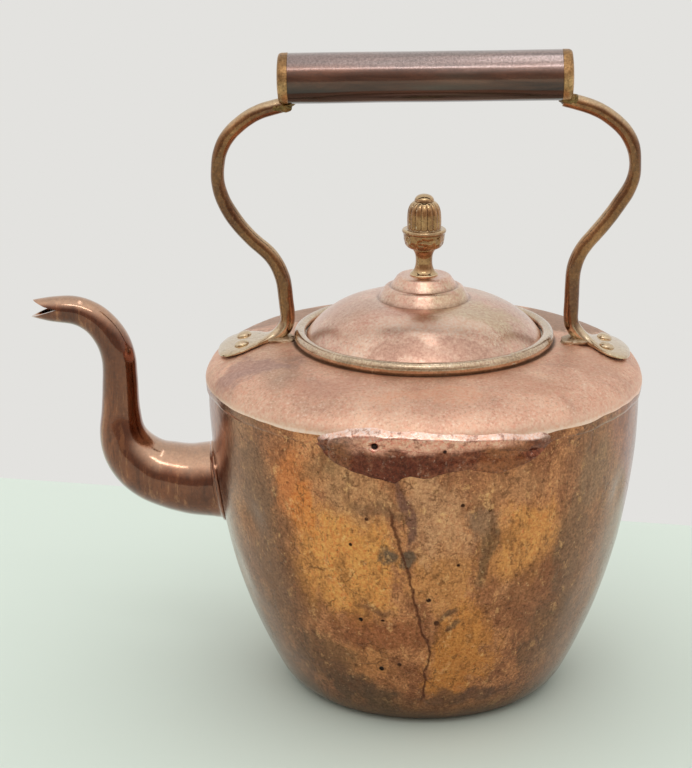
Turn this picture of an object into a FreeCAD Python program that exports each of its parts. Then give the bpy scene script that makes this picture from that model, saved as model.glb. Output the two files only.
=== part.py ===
import FreeCAD, Part
import math
import os

from FreeCAD import Vector

# Driving dimensions of a copper range kettle, in millimetres.
# Radii are taken from the upright axis of the pot, heights from the table.
# The spout points along -X, and the bail handle stands in the plane of the spout.

# Sheet metal and soldered joints
wall_sheet = 1.2
shoulder_sheet = 1.2
base_sheet = 1.6
solder_gap = 0.1

# Base pan, dished up to meet the wall
base_flat_radius = 54.0
base_corner_width = 13.0
base_seam_height = 10.0
base_flange_height = 7.0
base_flange_sheet = 1.0

# Wall and shoulder: the shoulder's turned-down edge laps over the top of the wall
body_radius = 98.5
belly_height = 67.0
seam_height = 140.5
seam_lap = 4.0
shoulder_rise = 16.2
crown_drop = 2.9

# Brass mouth ring: a round bead with a ledge inside it for the lid, set in from the edge of the shoulder
shoulder_land = 40.2
ring_bead_width = 5.0
ring_height = 5.4
ring_foot_inset = 0.8
ledge_width = 2.1
ledge_thickness = 1.6
land_margin = 0.7

# Lid: a stepped dome with a skirt soldered under it
lid_sheet = 1.0
lid_edge_clearance = 0.5
lid_seat_gap = 0.2
lid_edge_width = 1.6
dome_rise = 16.5
dome_crown_inset = 10.8
dome_crown_drop = 1.6
lower_step_radius = 20.5
lower_step_height = 5.6
upper_step_radius = 15.0
upper_step_height = 5.0
step_tread = 0.8
skirt_sheet = 0.9
skirt_clearance = 0.7
skirt_depth = 13.0

# Finial: an acorn in a beaded cup on a waisted stem, held by a shank and nut under the lid
finial_foot_radius = 6.6
finial_foot_edge = 0.8
finial_waist_radius = 3.9
finial_waist_height = 5.6
finial_neck_radius = 4.9
finial_neck_height = 12.4
finial_neck_flare = 2.0
cup_radius = 9.5
cup_height = 18.6
cup_bead = 1.3
acorn_radius = 7.4
acorn_base_height = 21.6
acorn_fullness = 2.0
acorn_top_radius = 3.5
acorn_top_height = 33.0
acorn_tip_radius = 4.0
acorn_tip_height = 36.0
acorn_flutes = 16
flute_radius = 1.2
flute_depth = 0.6
flute_bow = 18.0
shank_radius = 2.3
shank_clearance = 0.15
shank_length = 7.0
washer_radius = 6.5
washer_thickness = 0.8
nut_sides = 6
nut_across_flats = 8.0
nut_thickness = 3.6

# Spout: a tapered gooseneck on a rolled collar, with a beak cut open at the tip
spout_height = 93.0
spout_base_radius = 17.8
spout_sheet = 1.1
spout_standoff = 1.3
spout_reach = 43.3
spout_run_in = 13.0
elbow_rise = 7.5
riser_height = 64.0
crook_run = 12.7
crook_rise = 16.5
tip_reach = 38.5
tip_rise = 80.9
spout_tapers = (
    (0.00, spout_base_radius), (0.10, 16.2), (0.21, 14.3), (0.30, 12.3), (0.39, 9.7),
    (0.47, 8.3), (0.66, 7.7), (0.80, 6.9), (0.93, 6.1), (0.97, 5.0), (1.00, 3.6),
)
spout_sections = 18
beak_depth = 9.0
beak_opening = 5.8
beak_overrun = 4.0
collar_lip_width = 1.5
collar_lip = 1.2
collar_step = 1.3
port_margin = 1.0

# Soldered patch over the front of the shoulder seam, run down the wall in a wavy edge
patch_thickness = 1.1
patch_inset = 3.4
patch_left = -40.0
patch_right = 50.0
patch_drop = 8.0
patch_drip = 14.0
patch_drip_place = -11.0
patch_lead_in = 10.0
patch_lead_out = 18.0

# Bail handle: two brass arms with forged spade feet, and a tubular copper grip with brass caps
grip_height = 279.2
grip_radius = 11.1
grip_sheet = 0.9
grip_length = 129.0
grip_tilt = 0.8
cap_band = 5.0
cap_sheet = 1.0
cap_end = 1.6
cap_corner = 2.2
cap_crown = 0.6
cap_spigot = 6.0
arm_radius = 3.1
foot_sheet = 2.2
foot_root_width = 8.6
root_round = 0.5
foot_width = 33.0
foot_edge_margin = 6.0
foot_tip_length = 8.5
rivet_setback = 10.5
rivet_pitch = 14.0
rivet_radius = 1.7
rivet_clearance = 0.1
rivet_head_radius = 3.4
rivet_head_height = 1.9
rivet_back_radius = 3.0
rivet_back_height = 1.0

# Centre lines of the arms, from the cap down to the foot. Each arm was bent by hand, so they differ.
# Upper bends: distance beyond the end of the grip, and depth under the grip's axis.
# Lower bends: distance outside the mouth ring, and height over the mouth.
spout_arm_upper = ((-4.0, 12.0), (11.0, 16.0), (25.5, 28.7), (28.0, 49.7))
spout_arm_lower = ((23.2, 49.8), (5.2, 34.8), (1.3, 11.3), (11.7, 0.1))
rear_arm_upper = ((-4.0, 9.6), (11.5, 13.8), (26.5, 25.7), (28.8, 44.7))
rear_arm_lower = ((21.7, 53.6), (8.2, 38.3), (4.9, 12.3), (14.2, 0.5))
arc_share = 0.48

# Sizes that follow from the ones above
wall_top_radius = body_radius - shoulder_sheet - solder_gap
wall_top_height = seam_height + seam_lap - solder_gap
base_seam_radius = base_flat_radius + base_corner_width
mouth_height = seam_height + seam_lap + shoulder_rise
ring_radius = body_radius - shoulder_land
mouth_radius = ring_radius - ring_bead_width - ledge_width
bead_inner_radius = ring_radius - ring_bead_width
ledge_height = mouth_height + ledge_thickness
lid_radius = bead_inner_radius - lid_edge_clearance
dome_crown_radius = lid_radius - dome_crown_inset
lid_under = ledge_height + lid_seat_gap
lid_edge_top = lid_under + lid_sheet
dome_top = lid_edge_top + dome_rise
lower_step_top = dome_top + lower_step_height
lid_top = lower_step_top + upper_step_height
skirt_radius = mouth_radius - skirt_clearance
shank_hole_radius = shank_radius + shank_clearance
collar_radius = spout_base_radius + solder_gap + collar_lip_width
collar_bore = spout_base_radius - spout_sheet - collar_step
wall_port_radius = collar_bore - port_margin
grip_half = grip_length / 2
foot_tip_radius = body_radius - foot_edge_margin
foot_wide_radius = foot_tip_radius - foot_tip_length
rivet_circle = foot_tip_radius - rivet_setback

axis_up = Vector(0, 0, 1)
axis_back = Vector(0, 1, 0)
centre = Vector(0, 0, 0)


def at(radius, height):
    return Vector(radius, 0, height)


def line(start, end):
    return Part.LineSegment(start, end).toShape()


def chain(*points):
    return [line(a, b) for a, b in zip(points, points[1:])]


def arc(start, middle, end):
    return Part.Arc(start, middle, end).toShape()


def curve(*poles):
    bezier = Part.BezierCurve()
    bezier.setPoles(list(poles))
    return bezier.toShape()


def turned(edges):
    section = Part.Face(Part.Wire(edges))
    return section.revolve(centre, axis_up, 360)


# Parameter at which a three-pole curve reaches a value along one axis
def reach(low, middle, high, value):
    bend = low - 2 * middle + high
    rate = 2 * (middle - low)
    return 2 * (value - low) / (rate + math.copysign(math.sqrt(rate**2 + 4 * bend * (value - low)), rate))


def stretch(poles, start, end):
    bezier = Part.BezierCurve()
    bezier.setPoles(poles)
    return bezier.toShape(start, end)


def flipped(edge):
    edge.reverse()
    return edge


# Wall profile, moved in by an inset
def wall_poles(inset):
    return [
        at(base_seam_radius - inset, base_seam_height),
        at(wall_top_radius - inset, belly_height),
        at(wall_top_radius - inset, wall_top_height),
    ]


def wall_share(height):
    return reach(base_seam_height, belly_height, wall_top_height, height)


def wall_radius(height):
    share = wall_share(height)
    return wall_top_radius - (wall_top_radius - base_seam_radius) * (1 - share) ** 2


def wall_stretch(inset, low, high):
    return stretch(wall_poles(inset), wall_share(low), wall_share(high))


# Shoulder profile from the mouth's flat land to the turned edge, moved out by an offset
def shoulder_poles(offset):
    return [
        at(ring_radius + land_margin, mouth_height + offset),
        at(body_radius + offset, mouth_height - crown_drop + offset),
        at(body_radius + offset, seam_height + seam_lap),
    ]


# Height and upward direction of the shoulder's outside at a radius
def shoulder_place(radius):
    land, crown, edge = shoulder_poles(0)
    share = reach(land.x, crown.x, edge.x, radius)
    point = land * (1 - share) ** 2 + crown * 2 * share * (1 - share) + edge * share**2
    run = (crown - land) * (1 - share) + (edge - crown) * share
    return point.z, Vector(-run.z, 0, run.x).normalize()


# Everything under the shoulder's outside, raised by an offset
def shoulder_core(offset):
    land, crown, edge = shoulder_poles(offset)
    edges = chain(centre, at(edge.x, 0), edge)
    edges.append(flipped(curve(land, crown, edge)))
    edges += chain(land, at(0, land.z), centre)
    return turned(edges)


# Everything inside the wall's outside, with the wall moved out by an offset
def wall_core(offset):
    foot, belly, top = wall_poles(-offset)
    edges = chain(at(0, foot.z), foot)
    edges.append(curve(foot, belly, top))
    edges += chain(top, at(0, top.z), at(0, foot.z))
    return turned(edges)


# Straight runs joined by tangent arcs, as large as the shorter of two runs allows
def bent_route(points):
    edges = []
    last = points[0]
    for before, corner, after in zip(points, points[1:], points[2:]):
        into = (corner - before).normalize()
        out = (after - corner).normalize()
        setback = arc_share * min((corner - before).Length, (after - corner).Length)
        half_turn = into.getAngle(out) / 2
        bulge = setback * (1 / math.sin(half_turn) - 1 / math.tan(half_turn))
        start = corner - into * setback
        end = corner + out * setback
        middle = corner + (out - into).normalize() * bulge
        edges.append(line(last, start))
        edges.append(arc(start, middle, end))
        last = end
    edges.append(line(last, points[-1]))
    return edges


# Round section across a route, with a steady sideways axis
def section(point, direction, radius):
    ring = Part.Wire(Part.Circle(centre, axis_up, radius).toShape())
    ring.Placement = FreeCAD.Placement(point, FreeCAD.Rotation(axis_back, centre, direction, "ZXY"))
    return ring


def rod(points, radius):
    path = Part.Wire(bent_route(points))
    start = section(points[0], points[1] - points[0], radius)
    return path.makePipeShell([start], True, False)


# Base pan: flat floor, rounded corner, ledge under the wall and a flange inside it
def base_pan():
    inner = wall_sheet + solder_gap
    slope = (wall_top_radius - base_seam_radius) / (belly_height - base_seam_height)
    corner = base_seam_radius - base_seam_height * slope
    flange_top = base_seam_height + base_flange_height
    flange_back = inner + base_flange_sheet
    ledge = at(base_seam_radius - inner, base_seam_height)
    crest = at(wall_radius(flange_top) - inner, flange_top)
    crest_back = at(wall_radius(flange_top) - flange_back, flange_top)
    flange_root = at(base_seam_radius - flange_back, base_seam_height)
    floor_edge = at(base_flat_radius - base_sheet, base_sheet)
    edges = chain(centre, at(base_flat_radius, 0))
    edges.append(curve(at(base_flat_radius, 0), at(corner, 0), at(base_seam_radius, base_seam_height)))
    edges += chain(at(base_seam_radius, base_seam_height), ledge)
    edges.append(wall_stretch(inner, base_seam_height, flange_top))
    edges += chain(crest, crest_back)
    edges.append(flipped(wall_stretch(flange_back, base_seam_height, flange_top)))
    edges.append(curve(flange_root, at(corner - flange_back, base_sheet), floor_edge))
    edges += chain(floor_edge, at(0, base_sheet), centre)
    return turned(edges)


# Direction in which the spout leaves the wall, square to the wall at that height
def spout_frame():
    foot, belly, top = wall_poles(0)
    share = wall_share(spout_height)
    climb = (belly - foot) * (1 - share) + (top - belly) * share
    outward = Vector(-climb.z, 0, -climb.x).normalize()
    return at(-wall_radius(spout_height), spout_height), outward


def body_wall():
    bottom, belly, top = wall_poles(0)
    bottom_in, belly_in, top_in = wall_poles(wall_sheet)
    edges = [curve(bottom, belly, top)]
    edges += chain(top, top_in)
    edges.append(flipped(curve(bottom_in, belly_in, top_in)))
    edges += chain(bottom_in, bottom)
    seat, outward = spout_frame()
    port = Part.makeCylinder(wall_port_radius, 2 * collar_radius, seat - outward * collar_radius, outward)
    return turned(edges).cut(port)


def rivet_places(side):
    half = math.degrees(math.asin(rivet_pitch / 2 / rivet_circle))
    height, upward = shoulder_place(rivet_circle)
    for turn in (-half, half):
        spin = FreeCAD.Rotation(axis_up, turn if side > 0 else 180 + turn)
        yield spin.multVec(at(rivet_circle, height)), spin.multVec(upward)


def rivet_holes(side):
    reach_out = foot_sheet + shoulder_sheet + rivet_head_radius
    radius = rivet_radius + rivet_clearance
    return [
        Part.makeCylinder(radius, 2 * reach_out, place - upward * reach_out, upward)
        for place, upward in rivet_places(side)
    ]


def shoulder():
    land, crown, edge = shoulder_poles(0)
    land_in, crown_in, edge_in = shoulder_poles(-shoulder_sheet)
    mouth = at(mouth_radius, mouth_height)
    mouth_in = at(mouth_radius, mouth_height - shoulder_sheet)
    skirt = at(body_radius, seam_height)
    skirt_in = at(body_radius - shoulder_sheet, seam_height)
    edges = chain(mouth, land)
    edges.append(curve(land, crown, edge))
    edges += chain(edge, skirt, skirt_in, edge_in)
    edges.append(flipped(curve(land_in, crown_in, edge_in)))
    edges += chain(land_in, mouth_in, mouth)
    return turned(edges).cut(rivet_holes(-1) + rivet_holes(1))


def mouth_ring():
    crest = at(ring_radius - ring_bead_width / 2, mouth_height + ring_height)
    foot = at(ring_radius - ring_foot_inset, mouth_height)
    side = at(ring_radius, mouth_height + ring_height / 2)
    shelf = at(bead_inner_radius, ledge_height)
    lip = at(bead_inner_radius, (ledge_height + crest.z) / 2)
    edges = chain(at(mouth_radius, mouth_height), foot)
    edges.append(arc(foot, side, crest))
    edges.append(curve(crest, at(bead_inner_radius, crest.z), lip))
    edges += chain(lip, shelf, at(mouth_radius, ledge_height), at(mouth_radius, mouth_height))
    return turned(edges)


# Patch: a skin over the seam, kept within a wavy outline seen from the front
def seam_patch():
    low = seam_height - patch_drip - patch_drop
    crest_radius = body_radius - patch_inset
    step = seam_height - solder_gap

    def skin(offset, foot_offset, step_height):
        land, crown, edge = shoulder_poles(offset)
        crest_share = reach(land.x, crown.x, edge.x, crest_radius)
        wall_edge = at(wall_radius(step_height) + foot_offset, step_height)
        edges = [wall_stretch(-foot_offset, low, step_height)]
        edges += chain(wall_edge, at(edge.x, step_height), edge)
        edges.append(flipped(stretch([land, crown, edge], crest_share, 1)))
        crest = edges[-1].valueAt(edges[-1].FirstParameter)
        return edges, at(wall_radius(low) + foot_offset, low), crest

    inner, inner_low, inner_top = skin(solder_gap, solder_gap, step)
    outer, outer_low, outer_top = skin(patch_thickness, patch_thickness, step - patch_thickness)
    ends = chain(inner_top, outer_top) + chain(inner_low, outer_low)
    band = turned(Part.__sortEdges__(inner + outer + ends))
    left = at(patch_left, seam_height + seam_lap)
    right = at(patch_right, seam_height + seam_lap)
    wave = Part.BSplineCurve()
    wave.interpolate([
        left,
        at(patch_left + patch_lead_in, seam_height - patch_drop),
        at(patch_drip_place, seam_height - patch_drip),
        at(patch_drip_place + patch_lead_out, seam_height - patch_drop),
        at(patch_right - patch_lead_out, seam_height - patch_drop),
        right,
    ])
    brow = curve(right, at(patch_right, mouth_height), at(patch_left, mouth_height), left)
    outline = Part.Face(Part.Wire([wave.toShape(), brow]))
    return band.common(outline.extrude(axis_back * -2 * body_radius))


def spout_route():
    seat, outward = spout_frame()
    base = seat + outward * spout_standoff
    riser = base.x - spout_reach
    return [
        base,
        base + Vector(-spout_run_in, 0, 0),
        Vector(riser, 0, base.z + elbow_rise),
        Vector(riser, 0, base.z + riser_height),
        Vector(riser - crook_run, 0, base.z + riser_height + crook_rise),
        Vector(riser - tip_reach, 0, base.z + tip_rise),
    ]


def taper(share):
    for (near, near_radius), (far, far_radius) in zip(spout_tapers, spout_tapers[1:]):
        if share <= far:
            return near_radius + (far_radius - near_radius) * (share - near) / (far - near)
    return spout_tapers[-1][1]


# Tapered tube through round sections along the route, thinned by an inset
def spout_tube(inset, overrun):
    edges = bent_route(spout_route())
    length = sum(edge.Length for edge in edges)
    _, outward = spout_frame()
    rings = []
    for count in range(spout_sections + 1):
        share = count / spout_sections
        left = share * length
        for edge in edges:
            if left <= edge.Length or edge is edges[-1]:
                break
            left -= edge.Length
        place = edge.getParameterByLength(min(left, edge.Length))
        direction = outward if count == 0 else edge.tangentAt(place)
        rings.append(section(edge.valueAt(place), direction, taper(share) - inset))
    if overrun:
        base, *_, corner, tip = spout_route()
        tip_way = (tip - corner).normalize()
        rings.insert(0, section(base - outward * overrun, outward, taper(0) - inset))
        rings.append(section(tip + tip_way * overrun, tip_way, taper(1) - inset))
    return Part.makeLoft(rings, True, False)


def spout():
    tip = spout_route()[-1]
    apex = tip + Vector(beak_depth, 0, 0)
    spread = beak_opening / 2 * (beak_depth + beak_overrun) / beak_depth
    mouth = [tip + Vector(-beak_overrun, 0, height) for height in (spread, -spread)]
    wedge = Part.Face(Part.Wire(chain(apex, mouth[0], mouth[1], apex)))
    wedge.translate(axis_back * -collar_radius)
    beak = wedge.extrude(axis_back * 2 * collar_radius)
    return spout_tube(0, 0).cut(spout_tube(spout_sheet, beak_overrun)).cut(beak)


# Collar: saddle fitted to the wall, with a lip round the spout's end
def spout_collar():
    seat, outward = spout_frame()
    face = seat + outward * spout_standoff
    back = seat - outward * collar_radius
    blank = Part.makeCylinder(collar_radius, collar_radius + spout_standoff + collar_lip, back, outward)
    bore = Part.makeCylinder(collar_bore, 3 * collar_radius, back, outward)
    socket = Part.makeCylinder(spout_base_radius + solder_gap, collar_radius, face, outward)
    return blank.cut([bore, socket, wall_core(solder_gap)])


# Spade foot seen from above, pointing along +X
def foot_outline(root):
    neck = foot_root_width / 2
    half = foot_width / 2
    flare = (foot_wide_radius - root) / 2
    sides = []
    for side in (1, -1):
        sides.append(curve(Vector(root, side * neck), Vector(root + flare, side * neck),
                           Vector(foot_wide_radius - flare / 2, side * half),
                           Vector(foot_wide_radius, side * half)))
        sides.append(curve(Vector(foot_wide_radius, side * half), Vector(foot_tip_radius, side * half),
                           Vector(foot_tip_radius, 0)))
    sides.append(arc(Vector(root, neck), Vector(root - neck * root_round, 0), Vector(root, -neck)))
    return Part.Face(Part.Wire(Part.__sortEdges__(sides)))


# Room taken by the grip and its caps, leaning with the grip
def grip_room(radius):
    room = Part.makeCylinder(radius, grip_length, Vector(-grip_half, 0, grip_height), Vector(1, 0, 0))
    return leaning(room)


def leaning(shape):
    shape.rotate(Vector(0, 0, grip_height), axis_back, -grip_tilt)
    return shape


# One arm: a bent rod forged out into a spade that follows the shoulder, trimmed to the grip's cap
def handle_arm(upper, lower, side):
    points = [Vector(side * (grip_half + out), 0, grip_height - down) for out, down in upper]
    points += [Vector(side * (ring_radius + out), 0, mouth_height + up) for out, up in lower]
    root = ring_radius + lower[-2][0] + arm_radius
    blank = foot_outline(root).extrude(axis_up * 2 * mouth_height)
    if side < 0:
        blank.rotate(centre, axis_up, 180)
    skin = shoulder_core(solder_gap + foot_sheet).cut(shoulder_core(solder_gap))
    shank = rod(points, arm_radius).cut(shoulder_core(solder_gap))
    trims = [grip_room(grip_radius + solder_gap)] + rivet_holes(side)
    return shank.fuse(blank.common(skin)).cut(trims).removeSplitter()


# Rivets: a domed head on the foot, a shank through foot and shoulder, and a flat head inside the pot
def rivets(side):
    lift = foot_sheet + 2 * solder_gap
    under = -lift - shoulder_sheet - solder_gap
    tail = under - rivet_back_height
    dome = (rivet_head_radius**2 + rivet_head_height**2) / (2 * rivet_head_height)
    half_turn = math.asin(rivet_head_radius / dome) / 2
    crown = at(dome * math.sin(half_turn), rivet_head_height - dome + dome * math.cos(half_turn))
    edges = chain(at(0, rivet_head_height), at(0, tail), at(rivet_back_radius, tail))
    edges += chain(at(rivet_back_radius, tail), at(rivet_back_radius, under), at(rivet_radius, under))
    edges += chain(at(rivet_radius, under), at(rivet_radius, 0), at(rivet_head_radius, 0))
    edges.append(arc(at(rivet_head_radius, 0), crown, at(0, rivet_head_height)))
    blank = turned(edges)
    pieces = []
    for place, upward in rivet_places(side):
        piece = blank.copy()
        piece.Placement = FreeCAD.Placement(place + upward * lift, FreeCAD.Rotation(axis_up, upward))
        pieces.append(piece)
    return Part.makeCompound(pieces)


def grip_tube():
    length = grip_length - 2 * cap_band
    start = Vector(-length / 2, 0, grip_height)
    along = Vector(1, 0, 0)
    tube = Part.makeCylinder(grip_radius, length, start, along)
    return leaning(tube.cut(Part.makeCylinder(grip_radius - grip_sheet, length, start, along)))


# Cap: a flush brass band closing the tube, with a spigot inside it and a crowned end face
def grip_cap(side):
    spigot = grip_radius - grip_sheet - solder_gap
    hollow = spigot - cap_sheet
    shoulder_line = grip_half - cap_band
    spigot_end = shoulder_line - cap_spigot
    floor = grip_half - cap_end
    edge = grip_half - cap_crown
    rim = at(grip_radius - cap_corner, edge)
    side_top = at(grip_radius, edge - cap_corner)
    profile = chain(at(0, floor), at(hollow, floor), at(hollow, spigot_end), at(spigot, spigot_end),
                    at(spigot, shoulder_line), at(grip_radius, shoulder_line), side_top)
    profile.append(curve(side_top, at(grip_radius, edge), rim))
    profile.append(curve(rim, at(rim.x / 2, grip_half), at(0, grip_half)))
    profile += chain(at(0, grip_half), at(0, floor))
    cap = turned(profile)
    cap.rotate(centre, axis_back, 90 * side)
    cap.translate(axis_up * grip_height)
    return leaning(cap)


# Outside of the lid from the finial's hole to the edge, moved in by an inset
def lid_profile(inset, edge_point):
    seat = at(finial_foot_radius, lid_top - inset)
    start = at(shank_hole_radius, lid_top - inset)
    upper = at(upper_step_radius - inset, lower_step_top - inset)
    tread = at(upper_step_radius + step_tread - inset, lower_step_top - inset)
    lower = at(lower_step_radius - inset, dome_top - inset)
    dome = at(lower_step_radius + step_tread - inset, dome_top - inset)
    crown = at(dome_crown_radius - inset / 2, dome_top - dome_crown_drop - inset)
    edges = chain(start, seat)
    edges.append(curve(seat, at(upper.x, seat.z), upper))
    edges += chain(upper, tread)
    edges.append(curve(tread, at(lower.x, tread.z), lower))
    edges += chain(lower, dome)
    edges.append(curve(dome, crown, edge_point))
    return edges, start, (dome, crown, edge_point)


def lid_dome():
    edge_top = at(lid_radius, lid_edge_top)
    edge_low = at(lid_radius, lid_under)
    edge_in = at(lid_radius - lid_edge_width, lid_under)
    outside, start, _ = lid_profile(0, edge_top)
    inside, start_in, _ = lid_profile(lid_sheet, edge_in)
    ends = chain(edge_top, edge_low, edge_in) + chain(start, start_in)
    return turned(Part.__sortEdges__(outside + inside + ends))


# Skirt under the dome, its upper edge trimmed to the dome's inside
def lid_skirt():
    edge_in = at(lid_radius - lid_edge_width, lid_under)
    _, _, (dome, crown, edge) = lid_profile(lid_sheet, edge_in)
    corners = []
    for radius in (skirt_radius, skirt_radius - skirt_sheet):
        share = reach(dome.x, crown.x, edge.x, radius)
        height = dome.z * (1 - share) ** 2 + crown.z * 2 * share * (1 - share) + edge.z * share**2
        corners.append(at(radius, height - solder_gap))
    foot = lid_under - skirt_depth
    outer, inner = corners
    return turned(chain(outer, at(outer.x, foot), at(inner.x, foot), inner, outer))


# Finial turned in one piece with its shank, then fluted round the acorn
def finial():
    def up(radius, height):
        return at(radius, lid_top + height)

    shank_end = -lid_sheet - shank_length
    bead = cup_radius - cup_bead
    foot = up(finial_foot_radius, finial_foot_edge)
    waist = up(finial_waist_radius, finial_waist_height)
    neck = up(finial_neck_radius, finial_neck_height)
    cup_low = up(bead, cup_height - cup_bead)
    cup_high = up(bead, cup_height + cup_bead)
    base = up(acorn_radius, acorn_base_height)
    crest = up(acorn_top_radius, acorn_top_height)
    tip_side = up(acorn_tip_radius, (acorn_top_height + acorn_tip_height) / 2)
    tip = up(0, acorn_tip_height)
    edges = chain(up(0, shank_end), up(shank_radius, shank_end), up(shank_radius, 0))
    edges += chain(up(shank_radius, 0), up(finial_foot_radius, 0), foot)
    edges.append(curve(foot, up(finial_waist_radius, finial_foot_edge), waist))
    edges.append(curve(waist, up(finial_waist_radius, finial_neck_height - finial_neck_flare), neck))
    edges.append(curve(neck, up(bead, finial_neck_height), cup_low))
    edges.append(arc(cup_low, up(cup_radius, cup_height), cup_high))
    edges += chain(cup_high, base)
    chord = (crest - base).normalize()
    outward = Vector(chord.z, 0, -chord.x)
    swell = (base + crest) / 2 + outward * acorn_fullness
    edges.append(arc(base, swell, crest))
    edges.append(curve(crest, up(acorn_tip_radius, acorn_top_height), tip_side))
    edges.append(curve(tip_side, up(acorn_tip_radius, acorn_tip_height), tip))
    edges += chain(tip, up(0, shank_end))
    return turned(edges).cut(acorn_grooves(swell, chord, outward, (crest - base).Length))


# Flutes: a round cutter swung on a flatter bow than the acorn's, so that each flute runs out at both ends
def acorn_grooves(swell, chord, outward, length):
    path = swell + outward * (flute_radius - flute_depth)
    pivot = path - outward * flute_bow
    sweep = 2 * math.degrees(math.asin(length / 2 / flute_bow))
    disc = Part.Face(section(path, chord, flute_radius))
    disc.rotate(pivot, axis_back, sweep / 2)
    flute = disc.revolve(pivot, axis_back * -1, sweep)
    half_step = 180 / acorn_flutes
    grooves = []
    for count in range(acorn_flutes):
        groove = flute.copy()
        groove.rotate(centre, axis_up, half_step * (2 * count + 1))
        grooves.append(groove)
    return grooves


def finial_washer():
    top = lid_top - lid_sheet
    disc = Part.makeCylinder(washer_radius, washer_thickness, at(0, top - washer_thickness))
    return disc.cut(Part.makeCylinder(shank_hole_radius, washer_thickness, at(0, top - washer_thickness)))


def finial_nut():
    low = lid_top - lid_sheet - washer_thickness - nut_thickness
    corner = at(nut_across_flats / 2 / math.cos(math.pi / nut_sides), low)
    turns = [FreeCAD.Rotation(axis_up, 360 * count / nut_sides) for count in range(nut_sides + 1)]
    outline = Part.makePolygon([turn.multVec(corner) for turn in turns])
    block = Part.Face(outline).extrude(axis_up * nut_thickness)
    return block.cut(Part.makeCylinder(shank_radius, nut_thickness, at(0, low)))


nodes = {
    "base_pan": base_pan(),
    "body_wall": body_wall(),
    "shoulder": shoulder(),
    "seam_patch": seam_patch(),
    "mouth_ring": mouth_ring(),
    "spout": spout(),
    "spout_collar": spout_collar(),
    "spout_side_arm": handle_arm(spout_arm_upper, spout_arm_lower, -1),
    "rear_arm": handle_arm(rear_arm_upper, rear_arm_lower, 1),
    "spout_side_rivets": rivets(-1),
    "rear_rivets": rivets(1),
    "grip_tube": grip_tube(),
    "spout_side_cap": grip_cap(-1),
    "rear_cap": grip_cap(1),
    "lid_dome": lid_dome(),
    "lid_skirt": lid_skirt(),
    "finial": finial(),
    "finial_washer": finial_washer(),
    "finial_nut": finial_nut(),
}

os.makedirs("parts", exist_ok=True)
for name, shape in nodes.items():
    print(f"{name}: {len(shape.Solids)} solid, {shape.Volume:.0f} mm3, valid {shape.isValid()}")
    shape.exportStep(f"parts/{name}.step")
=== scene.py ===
import math

import bmesh
import bpy
from mathutils import Matrix, Vector, noise


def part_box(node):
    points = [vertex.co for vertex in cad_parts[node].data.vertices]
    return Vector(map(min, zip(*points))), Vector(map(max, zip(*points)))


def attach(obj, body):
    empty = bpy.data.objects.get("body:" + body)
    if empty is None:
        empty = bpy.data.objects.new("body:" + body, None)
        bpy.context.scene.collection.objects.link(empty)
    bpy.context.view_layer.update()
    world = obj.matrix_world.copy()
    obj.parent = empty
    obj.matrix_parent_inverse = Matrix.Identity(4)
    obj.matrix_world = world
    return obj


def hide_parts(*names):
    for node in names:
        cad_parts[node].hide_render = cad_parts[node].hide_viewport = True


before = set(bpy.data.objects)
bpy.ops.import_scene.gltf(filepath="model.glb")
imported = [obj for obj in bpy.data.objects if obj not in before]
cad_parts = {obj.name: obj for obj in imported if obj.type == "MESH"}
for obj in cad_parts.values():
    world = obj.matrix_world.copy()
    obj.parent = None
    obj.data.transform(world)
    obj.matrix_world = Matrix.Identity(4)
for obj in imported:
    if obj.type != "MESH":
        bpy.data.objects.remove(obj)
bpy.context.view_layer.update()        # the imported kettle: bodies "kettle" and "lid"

mm = 0.001
up = Vector((0, 0, 1))
sideways = Vector((0, 1, 0))
crease = math.radians(38)  # edges sharper than this stay sharp
print("frame loaded:", len(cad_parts), "nodes")


def measured(node):  # outer radius, lowest and highest level of a turned node, in millimetres
    low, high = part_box(node)
    return high.y / mm, low.z / mm, high.z / mm


wallRadius, wallLow, wallTop = measured("body_wall")
bodyRadius, shoulderLow, shoulderHigh = measured("shoulder")
mouthRadius, ringLow, ringHigh = measured("mouth_ring")
lidRadius, lidLow, lidHigh = measured("lid_dome")
finialLow = measured("finial")[1]


# small maths, in millimetres unless a point is meant
def mix(a, b, t):
    return a + (b - a) * t


def ease(low, high, value):  # 0 at low, 1 at high, smooth between
    t = min(1.0, max(0.0, (value - low) / (high - low)))
    return t * t * (3 - 2 * t)


def ripple(x, y, z, size, seed=0.0):  # soft noise between -1 and 1, with lumps about one size across
    return noise.noise(Vector((x / size + seed, y / size - seed, z / size + 2 * seed)))


def uneven(x, y, z, *ripples):  # ripples of a height, size and seed, added up
    return sum(height * ripple(x, y, z, size, seed) for height, size, seed in ripples)


def hump(away, width):  # 1 in the middle, falling off like a bell
    return math.exp(-((away / width) ** 2))


def along(stops, place):  # straight interpolation in a list of (place, value)
    for (a, low), (b, high) in zip(stops, stops[1:]):
        if place <= b:
            return mix(low, high, max(0.0, (place - a) / (b - a)))
    return stops[-1][1]


def bow(first, pole, last, count):  # points of a three-pole curve
    points = []
    for k in range(count + 1):
        t = k / count
        poles = zip(first, pole, last)
        points.append(tuple(a * (1 - t) ** 2 + p * 2 * t * (1 - t) + b * t * t for a, p, b in poles))
    return points


def straight(first, last, count):
    return [tuple(mix(a, b, k / count) for a, b in zip(first, last)) for k in range(count + 1)]


def chain(*runs):  # joins runs of points that share their end points
    points = list(runs[0])
    for run in runs[1:]:
        points += run[1:]
    return points


# meshes
def normals(points, closed=False):  # outward, for a profile that climbs the outside and then goes inwards
    found = []
    count = len(points)
    for k in range(count):
        a = points[k - 1] if closed or k else points[0]
        b = points[(k + 1) % count] if closed or k < count - 1 else points[-1]
        length = math.hypot(b[0] - a[0], b[1] - a[1]) or 1.0
        found.append(((b[1] - a[1]) / length, (a[0] - b[0]) / length))
    return found


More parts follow.
